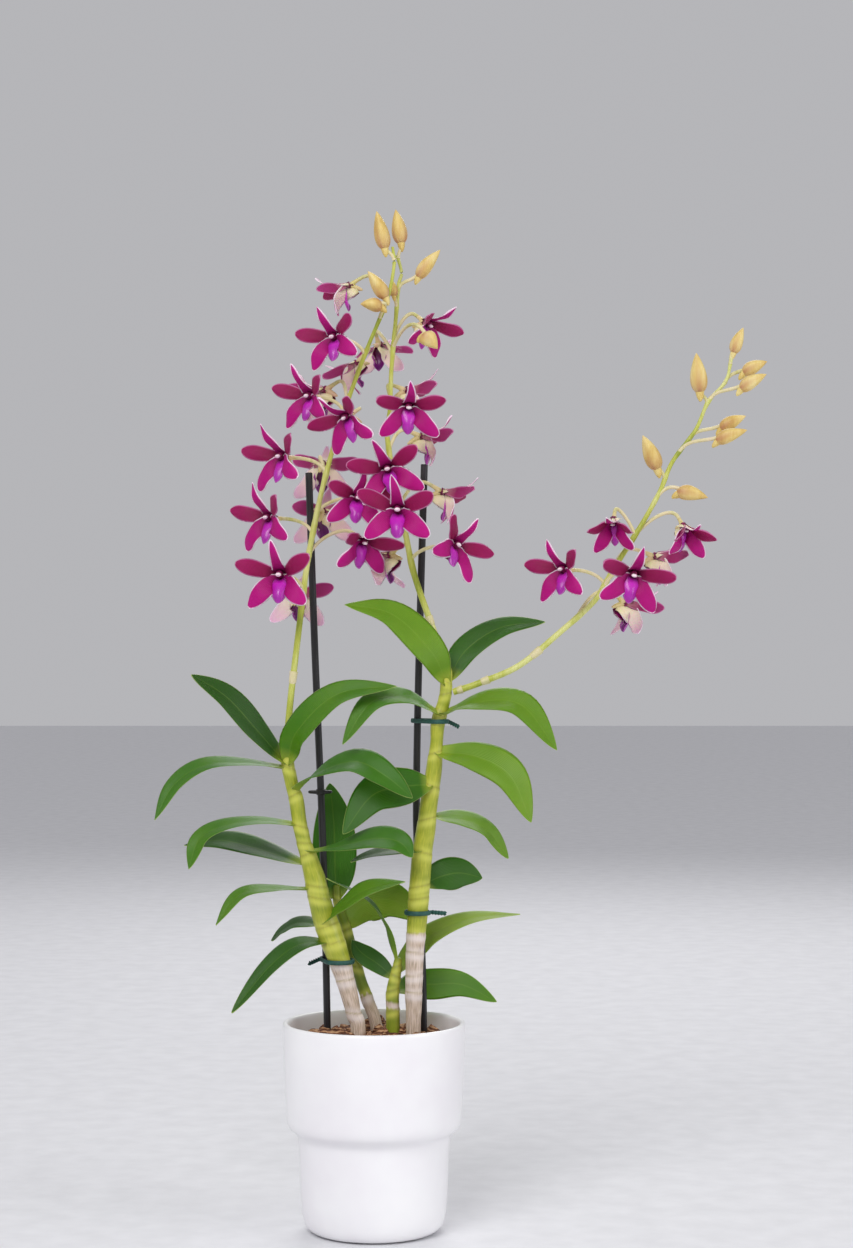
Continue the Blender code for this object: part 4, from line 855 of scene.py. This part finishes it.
sprays = {
    "Left": {
        "node": "spray_left", "bloomNode": "bloom_left_", "sleeves": [0.136],
        "stem": [
            (-60.8, -1, 337.3), (-58, -2, 369), (-53, -3, 411), (-47, -4, 459), (-42, -4, 487),
            (-36, -4, 515), (-28, -4, 545), (-18, -4, 577), (-5, -5, 612), (9, -7, 646), (14, -8, 670),
            (13, -8, 683),
        ],
        "blooms": [
            ((-18, 6, 658), -95, -30, 0, 0.85, 0.55), ((-26, -17, 619), -32, 0, 12, 0.95, 1.0),
            ((-43, -9, 579), -42, 0, 10, 0.95, 1.0), ((-17, -32, 564), -38, -25, 24, 0.95, 1.0),
            ((-62, -12, 537), -46, 0, 12, 1.0, 1.0), ((-71, -8, 495), -44, 0, 12, 1.0, 1.0),
            ((-63, -30, 455), -15, 0, 3, 1.05, 1.0), ((-55, 26, 442), 172, -10, 0, 0.95, 1.0),
            ((-12, -10, 509), 15, -4, -10, 0.95, 1.0), ((-37, 22, 534), 175, -20, 0, 1.0, 1.0),
            ((-37, 24, 501), 172, -12, 0, 1.0, 1.0), ((-9, 7, 480), 30, -26, -8, 0.95, 0.9),
            ((-13, 19, 605), -110, -45, 0, 0.85, 0.55), ((-35, 18, 586), -125, -25, 0, 0.95, 0.9),
        ],
        "buds": [
            ((8, -10, 683), (2, -12, 707), 10), ((9, -12, 649), (-4, -16, 665), 9.5),
            ((6, -16, 643), (-9, -19, 642), 9),
        ],
    },
    "Centre": {
        "node": "spray_centre", "bloomNode": "bloom_centre_", "sleeves": [0.1],
        "stem": [
            (50.1, 0, 393.3), (39, 0, 424), (28, 2, 456), (22, 3, 484), (14, 4, 522), (9, 5, 554),
            (11, 5, 571), (12, 6, 599), (15, 6, 634), (17, 6, 658), (19, 6, 667), (16, 6, 679),
        ],
        "blooms": [
            ((36, 6, 632), 52, -34, -12, 0.9, 1.0), ((24, -31, 571), 6, -22, 0, 0.95, 1.0),
            ((10, -20, 528), -4, -2, 18, 1.0, 1.0), ((17, -39, 499), -3, 0, 2, 1.05, 1.0),
            ((55, -12, 476), 42, 0, -32, 0.95, 1.0), ((48, 10, 514), 96, -30, 0, 0.95, 0.9),
            ((33.5, 9.5, 553), 98, -20, 0, 0.95, 0.9), ((23, 18, 586), 98, -18, 0, 0.95, 0.9),
            ((3, 30, 619), 165, -40, 0, 0.9, 0.9), ((10, 22, 470), -122, -35, 0, 0.95, 0.9),
        ],
        "buds": [
            ((19, 6, 689), (15, 6, 711), 10), ((30, 4, 665), (46, 0, 682), 9),
            ((14, 2, 651), (12, 2, 662), 6), ((34, -19, 624), (44, -21, 611), 11),
        ],
    },
    "Right": {
        "node": "spray_right", "bloomNode": "bloom_right_", "sleeves": [0.03, 0.104, 0.21],
        "stem": [
            (55.3, 0, 374.4), (74, -3, 381), (101, -6, 393), (129, -8, 416), (153, -9, 438), (165, -9, 458),
            (184, -8, 488), (198, -7, 513), (207, -6, 534), (223, -6, 556), (232, -6, 576), (244, -6, 590),
            (248, -6, 606),
        ],
        "blooms": [
            ((165, -22, 493), -12, -42, 0, 0.85, 0.55), ((214, -14, 489), 24, -42, 0, 0.85, 0.55),
            ((132, -18, 459), -42, 0, 12, 0.95, 1.0), ((177, -36, 456), 8, -18, -8, 1.0, 1.0),
            ((197, 14, 469), 98, -20, 0, 0.95, 0.9), ((176, 12, 436), 118, -36, 0, 0.95, 0.9),
        ],
        "buds": [
            ((249, -6, 611), (256, -8, 627), 8), ((256, -2, 598), (273, -4, 604), 9),
            ((253, -12, 586), (271, -16, 594), 9), ((226, -8, 584), (223, -12, 609), 11),
            ((240, -4, 559), (258, -6, 566), 9), ((236, -16, 550), (257, -22, 555), 9),
            ((197, -8, 531), (186, -12, 552), 11), ((210, -8, 516), (231, -12, 509), 10),
        ],
    },
}
stemForm = {
    "foot": 2.4 * mm, "tip": 1.0 * mm, "most": 3.0 * mm, "steps": 90, "sides": 20, "swelling": 0.33 * mm,
    "swellingReach": 3.0 * mm, "sleeve": 0.02, "sleeveSteps": 6,
}
stalkForm = {
    "radius": 1.15 * mm, "steps": 16, "sides": 12, "rise": 0.55, "headOn": 2 * mm, "topClear": 2 * mm,
    "bloomDrop": 10 * mm, "bloomNeck": 9.5 * mm, "budDrop": 9 * mm, "budNeck": 2 * mm,
}
# the spur is (share of the axis, diameters behind it, radius in diameters)
budForm = {
    "rings": 18, "sides": 24, "drop": 0.22, "fullness": 1.12, "ridges": 3, "ridge": 0.06,
    "spur": [(0.34, 0.0, 0.34), (0.16, 0.34, 0.30), (0.06, 0.62, 0.2), (0.03, 0.82, 0.06)],
    "spurRings": 12, "spurSides": 16,
}


def facing(throat, turn, lookUp, roll, size):
    # the place of a bloom, which looks along its own +Z with its top sepal at +Y
    turn, lookUp, roll = (math.radians(angle) for angle in (turn, lookUp, roll))
    look = Vector((math.sin(turn), -math.cos(turn), 0)) * math.cos(lookUp) + up * math.sin(lookUp)
    right = up.cross(look).normalized()
    axes = Matrix((right, look.cross(right), look)).transposed() @ Matrix.Rotation(roll, 3, "Z")
    return Matrix.Translation(Vector(throat) * mm) @ (axes * size).to_4x4()


def stalkLine(start, end, arrive):
    # leaves the stem rising, and meets its bloom or bud head on; a little thicker at both ends
    meet = end - arrive * stalkForm["headOn"]
    reach = (meet - start).length
    first = start + ((meet - start).normalized() * 0.5 + up * stalkForm["rise"]) * reach * 0.45
    second = meet - arrive * reach * 0.4
    line = []
    for k in range(stalkForm["steps"] + 1):
        t = k / stalkForm["steps"]
        point = start * (1 - t) ** 3 + first * 3 * t * (1 - t) ** 2
        point += second * 3 * t * t * (1 - t) + meet * t ** 3
        line.append((point, stalkForm["radius"] * (1 + 0.45 * math.exp(-t * 12) + 0.15 * t)))
    return line + [(end, stalkForm["radius"] * 1.2)]


def addBud(build, foot, tip, diameter):
    # three soft ridges, a pointed tip, and a chin that sags at the foot
    axis = tip - foot
    turn = axis.to_track_quat("Z", "Y").to_matrix()
    rings, notes = [], []
    for i in range(budForm["rings"] + 1):
        share = 0.5 - 0.5 * math.cos(math.pi * i / budForm["rings"])
        body = max(math.sin(math.pi * min(share, 0.995) ** 0.62), 0.02) ** 0.75 * (1 - 0.1 * share)
        wide = diameter / 2 * budForm["fullness"] * body
        sag = up * budForm["drop"] * diameter * (1 - share) ** 2
        ring, note = [], []
        for k in range(budForm["sides"]):
            ridge = math.cos(budForm["ridges"] * math.tau * k / budForm["sides"])
            radius = wide * (1 + budForm["ridge"] * ridge * math.sin(math.pi * share))
            spot = circlePoint(k / budForm["sides"], radius) + up * share * axis.length
            ring.append(foot + turn @ spot - sag)
            blush = 0.55 * (1 - share) ** 2 + 0.4 * max(0.0, -ridge) * (1 - share) + 0.25 * share ** 4
            note.append((min(1.0, blush), 0, 0, 0))
        rings.append(ring)
        notes.append(note)
    addTube(build, rings, 0, lambda i, k: notes[i][k])
    back = (-up - axis.normalized() * 0.5).normalized()
    spur = [foot + axis * along + back * diameter * behind for along, behind, _ in budForm["spur"]]
    widths = [wide for _, _, wide in budForm["spur"]]
    rings = []
    for i in range(budForm["spurRings"] + 1):
        share = i / budForm["spurRings"]
        radii = [smoothNumber(widths, share) * diameter] * budForm["spurSides"]
        rings.append(ringAround(smoothPoint(spur, share), smoothRun(spur, share), radii))
    addTube(build, rings, 0, lambda i, k: (0.06, 0, 0, 0))


# a bloom's tepals are (kind, angle from the top, length, width, how far the middle arches, how far in front
# it lies, how far it leans forward in degrees), in mm; its ovary, chin, column and cap are sweeps
bloomForm = {
    "tepals": [
        ("top", 0, 28, 10.5, 3.0, -0.8, 36), ("side", 134, 30, 13, 3.5, -0.8, 20),
        ("side", 226, 30, 13, 3.5, -0.8, 20), ("petal", 70, 31, 11, 2.0, 0.4, 24),
        ("petal", 290, 31, 11, 2.0, 0.4, 24),
    ],
    "throat": 3.4, "swing": 82,
    "lip": [(0, -2.2, 0.6), (0, -5.6, 5.6), (0, -11, 9.4), (0, -18.5, 10.4)],
    "lipFaces": [(0, 1, 0.1), (0, 0.72, 0.8)],
    "sweeps": [
        {"line": [(0, 0, -9.5), (0, -0.1, -6.5), (0, -0.5, -3.6), (0, -0.9, -1.6)],
         "radii": [1.5, 1.7, 2.2, 2.0], "sides": 16, "slot": 3, "blush": 0.1, "flat": 1.0},
        {"line": [(0, -1.4, -2.0), (0, -3.8, -3.8), (0, -6.8, -6.2), (0, -9.2, -8.2)],
         "radii": [2.0, 2.1, 1.7, 0.7], "sides": 14, "slot": 3, "blush": 0.2, "flat": 1.0},
        {"line": [(0, -0.2, -1.4), (0, 0.6, 1.6), (0, 0.9, 4.2), (0, 0.3, 5.8)],
         "radii": [3.2, 2.5, 2.2, 1.2], "sides": 16, "slot": 4, "blush": 0.0, "flat": 1.0},
        {"line": [(0, 0.5, 4.6), (0, 0.4, 5.8), (0, 0.1, 6.6), (0, -0.2, 7.0)],
         "radii": [1.7, 2.05, 1.65, 0.35], "sides": 12, "slot": 5, "blush": 0.0, "flat": 0.66},
    ],
    "sweepFine": 4, "least": 0.08,
}
# the kinds of tepal: material slot, how far the tip droops and sways in mm, and the outline
tepalKinds = {
    "top": {"slot": 0, "droop": 2.8, "sway": (-3.2, 0.6),
            "outline": lambda s: (0.55 * math.exp(-s / 0.12)
                                  + (0.88 - 0.24 * s) * (1 - min(s, 1.0) ** 4) ** 0.6)},
    "side": {"slot": 0, "droop": 2.8, "sway": (-1, 1),
             "outline": lambda s: (0.78 * max(1 - s * 1.6, 0.0) ** 1.5
                                   + 0.97 * max(math.sin(math.pi * s ** 1.35), 0.0) ** 0.5)},
    "petal": {"slot": 1, "droop": 0.4, "sway": (-1, 1),
              "outline": lambda s: (0.36 * (1 - s) ** 2
                                    + 0.97 * max(math.sin(math.pi * s ** 1.6), 0.0) ** 0.5)},
}
tepalForm = {
    "rows": 14, "columns": 10, "crowd": 0.95, "thickness": 0.7 * mm, "keel": 0.25 * mm,
    "waves": 1.4, "wave": 0.95 * mm,
    "lift": lambda s: 0.35 * math.exp(-s / 0.25) + 0.02,
    "curl": lambda s: 0.05 + 0.20 * s,
}
lipForm = {
    "rows": 16, "columns": 12, "crowd": 1.0, "thickness": 0.8 * mm, "keel": 0.0, "width": 12.5 * mm,
    "waves": 2.0, "wave": 0.35 * mm,
    "outline": lambda s: ((0.55 + 0.42 * hump(s, 0.38, 0.2) + 0.22 * hump(s, 0.8, 0.15))
                          * (1 - max(s, 0.0) ** 9) ** 0.5),
    "lift": lambda s: 0.7 * hump(s, 0.08, 0.18) + 0.02,
    "curl": lambda s: 0.3 + 0.4 * s,
}


def addTepal(build, where, tepal, openShare, shake):
    kindName, angle, length, width, arch, layer, lean = tepal
    kind = tepalKinds[kindName]
    turned, scale = where.to_3x3(), where.to_scale()[0]
    angle = math.radians(angle + shake.uniform(-5, 5))
    length *= shake.uniform(0.96, 1.04)
    arch += shake.uniform(-0.8, 0.8)
    outward = Vector((math.sin(angle), math.cos(angle), 0))
    aside = Vector((math.cos(angle), -math.sin(angle), 0))
    swing = math.radians(90 - bloomForm["swing"] * openShare + (lean + shake.uniform(-3, 3)) * openShare ** 2)
    lie = outward * math.cos(swing) + up * math.sin(swing)
    rise = up * math.cos(swing) - outward * math.sin(swing)
    sway = aside * shake.uniform(*kind["sway"])
    foot = outward * 1.7 - up * 1.2
    front = folded = (turned @ rise).normalized()
    if kindName == "side":              # the side sepals' broad feet close round the chin
        foot = Vector((outward.x * 0.8, -4.6, -4.4))
        folded = (turned @ Vector((-outward.x * 0.66, -0.5, 0.56))).normalized()
    throat = outward * bloomForm["throat"]
    spine = [foot,
             throat * 0.6 + lie * length * 0.3 + rise * arch * 0.8 + up * layer,
             throat * 0.4 + lie * length * 0.66 + rise * arch * 0.7 + up * layer + sway * 0.2,
             lie * length - rise * (arch * 0.4 + kind["droop"]) + up * layer + sway]
    form = dict(tepalForm, outline=kind["outline"], width=width * scale * mm, wave=tepalForm["wave"] * scale)
    addBlade(build, [where @ (p * mm) for p in spine], lambda s: front.lerp(folded, hump(s, 0, 0.24)),
             form, kind["slot"], 0, shake)


def addSweep(build, where, sweep):
    # a small round part of a bloom, swept along its line
    line = inMetres(sweep["line"])
    count = (len(line) - 1) * bloomForm["sweepFine"]
    rings = []
    for i in range(count + 1):
        share = i / count
        here = smoothPoint(line, share)
        radius = max(smoothNumber(sweep["radii"], share), bloomForm["least"]) * mm
        ring = ringAround(Vector(), smoothRun(line, share), [radius] * sweep["sides"])
        rings.append([where @ (here + Vector((p.x, p.y * sweep["flat"], p.z))) for p in ring])
    addTube(build, rings, sweep["slot"], lambda i, k: (sweep["blush"], 0, 0, 0))


def addBloom(build, where, openShare, shake):
    for tepal in bloomForm["tepals"]:
        addTepal(build, where, tepal, openShare, shake)
    root, tip = ((where.to_3x3() @ Vector(p)).normalized() for p in bloomForm["lipFaces"])
    form = dict(lipForm, width=lipForm["width"] * where.to_scale()[0])
    spine = [where @ p for p in inMetres(bloomForm["lip"])]
    addBlade(build, spine, lambda s: root.lerp(tip, min(s * 1.3, 1.0)), form, 2, 0, shake)
    for sweep in bloomForm["sweeps"]:
        addSweep(build, where, sweep)


def stemPath(line, roots):
    # a stem that thins to its tip and swells where stalks leave it
    path = []
    for k in range(stemForm["steps"] + 1):
        share = k / stemForm["steps"]
        point = smoothPoint(line, share)
        radius = stemForm["foot"] + (stemForm["tip"] - stemForm["foot"]) * share
        for root in roots:
            away = (smoothPoint(line, root) - point).length
            radius += stemForm["swelling"] * hump(away, 0, stemForm["swellingReach"])
        path.append((point, min(radius, stemForm["most"])))
    return path


def sleevePath(line, end):
    # a short papery bract that clasps the stem
    path = []
    for k in range(stemForm["sleeveSteps"] + 1):
        spot = smoothPoint(line, end + stemForm["sleeve"] * (k / stemForm["sleeveSteps"] - 1))
        path.append((spot, stemForm["foot"] * (1.06 + 0.03 * k) * (1 if k else 0.8)))
    return path


bloomFinish = [sepalFlesh, petalFlesh, lipFlesh, ovaryFlesh, columnFlesh, capFlesh]
for side, plan in sprays.items():
    shake = random.Random(21 + len(side))
    line = inMetres(plan["stem"])
    top = line[-1].z - stalkForm["topClear"]
    stalks, roots = [], []
    for number, (throat, turn, lookUp, roll, size, openShare) in enumerate(plan["blooms"], 1):
        where = facing(throat, turn, lookUp, roll, size)
        look = (where.to_3x3() @ up).normalized()
        roots.append(shareAtHeight(line, min(throat[2] * mm - stalkForm["bloomDrop"], top)))
        stalks.append(stalkLine(smoothPoint(line, roots[-1]), where @ (up * -stalkForm["bloomNeck"]), look))
        build = startBuild()
        tilt = Matrix.Rotation(math.radians(shake.uniform(-4, 4)), 4, "Z")
        addBloom(build, where @ tilt, openShare, shake)
        finishPiece(build, f"bloom{side}{number}", bloomFinish, [f"{plan['bloomNode']}{number}"])
    build = startBuild()
    for foot, tip, diameter in plan["buds"]:
        foot, tip = inMetres([foot, tip])
        arrive = (tip - foot).normalized()
        roots.append(shareAtHeight(line, min(foot.z - stalkForm["budDrop"], top)))
        stalks.append(stalkLine(smoothPoint(line, roots[-1]), foot + arrive * stalkForm["budNeck"], arrive))
        addBud(build, foot, tip, diameter * mm)
    finishPiece(build, f"buds{side}", [budFlesh], [plan["node"]])
    stalks.extend(sleevePath(line, share) for share in plan["sleeves"])
    settings = {"Sides": stemForm["sides"], "Flatness": 1.0, "Material": stemFlesh}
    stem = grow(makePath(f"flowerStem{side}", [stemPath(line, roots)]), sweepTree, settings)
    settle(stem, [plan["node"]])
    settings = {"Sides": stalkForm["sides"], "Flatness": 1.0, "Material": stalkFlesh}
    settle(grow(makePath(f"flowerStalks{side}", stalks), sweepTree, settings), [plan["node"]])
    print("spray", side, "in bloom:", len(plan["blooms"]), "blooms and", len(plan["buds"]), "buds")


# stakes: drawn rods with six faint flutes, slightly bowed, with rounded tops

stakes = {
    "stakeLeft": {
        "node": "stake_left",
        "line": [(-33, 15, 64), (-33, 14, 134), (-36, 13, 263), (-42, 13, 410), (-46, 13, 528)],
    },
    "stakeRight": {
        "node": "stake_right",
        "line": [(34.5, 14, 64), (34.5, 14, 134), (33.5, 14, 186), (30, 14, 263), (29.5, 14, 305),
                 (31, 14, 389), (35, 14, 534)],
    },
}
stakeForm = {
    "radius": 2.4 * mm, "flute": 0.09 * mm, "flutes": 6, "sides": 48,
    "rings": 80, "endRings": 5, "end": 0.6 * mm,
}
waves = [math.cos(math.tau * stakeForm["flutes"] * k / stakeForm["sides"]) for k in range(stakeForm["sides"])]
for name, plan in stakes.items():
    line = inMetres(plan["line"])
    build = startBuild()
    rings = []
    for i in range(stakeForm["rings"] + stakeForm["endRings"]):
        share = min(i / stakeForm["rings"], 1.0)
        past = max(0, i - stakeForm["rings"]) / stakeForm["endRings"]          # the rounded end
        run = (smoothPoint(line, min(share + 0.01, 1.0)) - smoothPoint(line, share - 0.01)).normalized()
        narrow = math.sqrt(1 - past * past * 0.96)
        radii = [(stakeForm["radius"] + stakeForm["flute"] * wave) * narrow for wave in waves]
        rings.append(ringAround(smoothPoint(line, share) - run * (1 - past) * stakeForm["end"], run, radii))
    addTube(build, rings)
    finishPiece(build, name, [blackRod], [plan["node"]])


# clips: a moulded collar round each stake; the left one carries a bar; sizes are in mm

clipForm = {"sides": 40, "barRings": 24, "barSides": 24, "barEnd": 0.86, "barSquare": 5, "barHollow": 0.3}


def addCollar(build, centre, outer, inner, tall):
    upper = [(inner, 0.5), (inner + 0.15, 0.5), (outer - 0.5, 0.5), (outer - 0.1, 0.36), (outer, 0.1)]
    profile = [(radius, -z) for radius, z in upper] + upper[::-1]
    rings = [[(Vector(centre) + circlePoint(k / clipForm["sides"], radius) + up * z * tall) * mm
              for k in range(clipForm["sides"])] for radius, z in profile]
    addTube(build, rings, looped=True)


def addBar(build, centre, size, taper):
    # a rounded bar along X, thinner to its ends
    half = Vector(size) / 2
    power = clipForm["barSquare"]
    rings = []
    for i in range(clipForm["barRings"] + 1):
        u = 2 * i / clipForm["barRings"] - 1
        pastEnd = max(0.0, (abs(u) - clipForm["barEnd"]) / (1 - clipForm["barEnd"]))
        close = math.sqrt(max(1 - pastEnd ** 2 * 0.9, 0.0))
        deep = half.y * (1 - taper * u * u) * close
        tall = half.z * (1 - clipForm["barHollow"] * u * u) * close
        ring = []
        for k in range(clipForm["barSides"]):
            c, s = circlePoint(k / clipForm["barSides"]).xy
            rounded = (abs(c) ** power + abs(s) ** power) ** (-1 / power)
            ring.append((Vector(centre) + Vector((u * half.x, c * rounded * deep, s * rounded * tall))) * mm)
        rings.append(ring)
    addTube(build, rings)


build = startBuild()
addCollar(build, (-37.6, 13, 304), 3.5, 2.4, 4.0)
addBar(build, (-38, 13, 304), (17, 6.2, 2.8), 0.45)
finishPiece(build, "clipLeft", [blackRod], ["clip_left"])
build = startBuild()
addCollar(build, (29.5, 14, 303), 3.4, 2.4, 3.5)
finishPiece(build, "clipRight", [blackRod], ["clip_right"])
print("stakes and clips made")


# twist ties: one flat ribbon goes round cane and stake, and its two ends wind round each other

ties = {
    "tieLow": {"node": "tie_low", "cane": "caneLeft", "stake": "stakeLeft", "z": 187, "slack": 0.6,
               "tail": [(-39, 14, 187), (-46, 10, 184)]},
    "tieMiddle": {"node": "tie_middle", "cane": "caneRight", "stake": "stakeRight", "z": 221, "slack": 0.0,
                  "tail": [(38, 4, 221), (50, 2, 220)]},
    "tieTop": {"node": "tie_top", "cane": "caneRight", "stake": "stakeRight", "z": 354, "slack": 0.6,
               "tail": [(51, 4, 354), (59, 2, 350)]},
}
tieForm = {
    "room": 1.85 * mm, "halfWidth": 1.6 * mm, "tailShare": 0.55, "flatness": 0.35, "sides": 12,
    "twist": 0.8 * mm, "turns": 2.5, "tailSteps": 30, "tailStart": 0.06, "roundCane": 24, "roundStake": 12,
}


def bandRound(a, aRadius, b, bRadius):
    # the path of a belt round two upright round bars, at the height of their points a and b
    gap = b - a
    heading = math.atan2(gap.y, gap.x)
    lean = math.acos(max(-1.0, min(1.0, (aRadius - bRadius) / gap.xy.length)))
    points = []
    for centre, radius, first, sweep, steps in (
            (a, aRadius, heading + lean, math.tau - 2 * lean, tieForm["roundCane"]),
            (b, bRadius, heading - lean, 2 * lean, tieForm["roundStake"])):
        turns = [(first + sweep * k / steps) / math.tau for k in range(steps + 1)]
        points.extend(centre + circlePoint(turn, radius) for turn in turns)
    return points


def tieTail(start, end, run, phase):
    # one end of the ribbon, winding round the line from start to end
    right = run.cross(up).normalized()
    over = right.cross(run)
    points = []
    for k in range(tieForm["tailSteps"] + 1):
        share = k / tieForm["tailSteps"]
        turn = circlePoint(phase + tieForm["turns"] * share, tieForm["twist"])
        straight = start.lerp(end, tieForm["tailStart"] + (1 - tieForm["tailStart"]) * share)
        points.append(straight + right * turn.x + over * turn.y)
    return points


for name, plan in ties.items():
    stations = canes[plan["cane"]]["stations"]
    caneLine, rodLine = inMetres(stations), inMetres(stakes[plan["stake"]]["line"])
    share = shareAtHeight(caneLine, plan["z"] * mm)
    caneRadius = smoothNumber([station[3] / 2 for station in stations], share) * mm
    rodSpot = smoothPoint(rodLine, shareAtHeight(rodLine, plan["z"] * mm))
    band = bandRound(smoothPoint(caneLine, share), caneRadius + tieForm["room"] + plan["slack"] * mm,
                     rodSpot, stakeForm["radius"] + tieForm["room"])
    knot, end = inMetres(plan["tail"])
    first = min(range(len(band)), key=lambda k: (band[k] - knot).length)
    band = band[first:] + band[:first + 1]
    one, two = (tieTail(band[0], end, (end - knot).normalized(), phase) for phase in (0.0, 0.5))
    ribbon = one[::-1] + band[1:-1] + two
    path = []
    for k, point in enumerate(ribbon):
        inTail = min(k, len(ribbon) - 1 - k) <= tieForm["tailSteps"]
        path.append((point, tieForm["halfWidth"] * (tieForm["tailShare"] if inTail else 1.0)))
    settings = {"Sides": tieForm["sides"], "Flatness": tieForm["flatness"], "Material": tieCoat}
    settle(grow(makePath(name, [path]), sweepTree, settings), [plan["node"]])
print("ties wound")

print("sizes written")
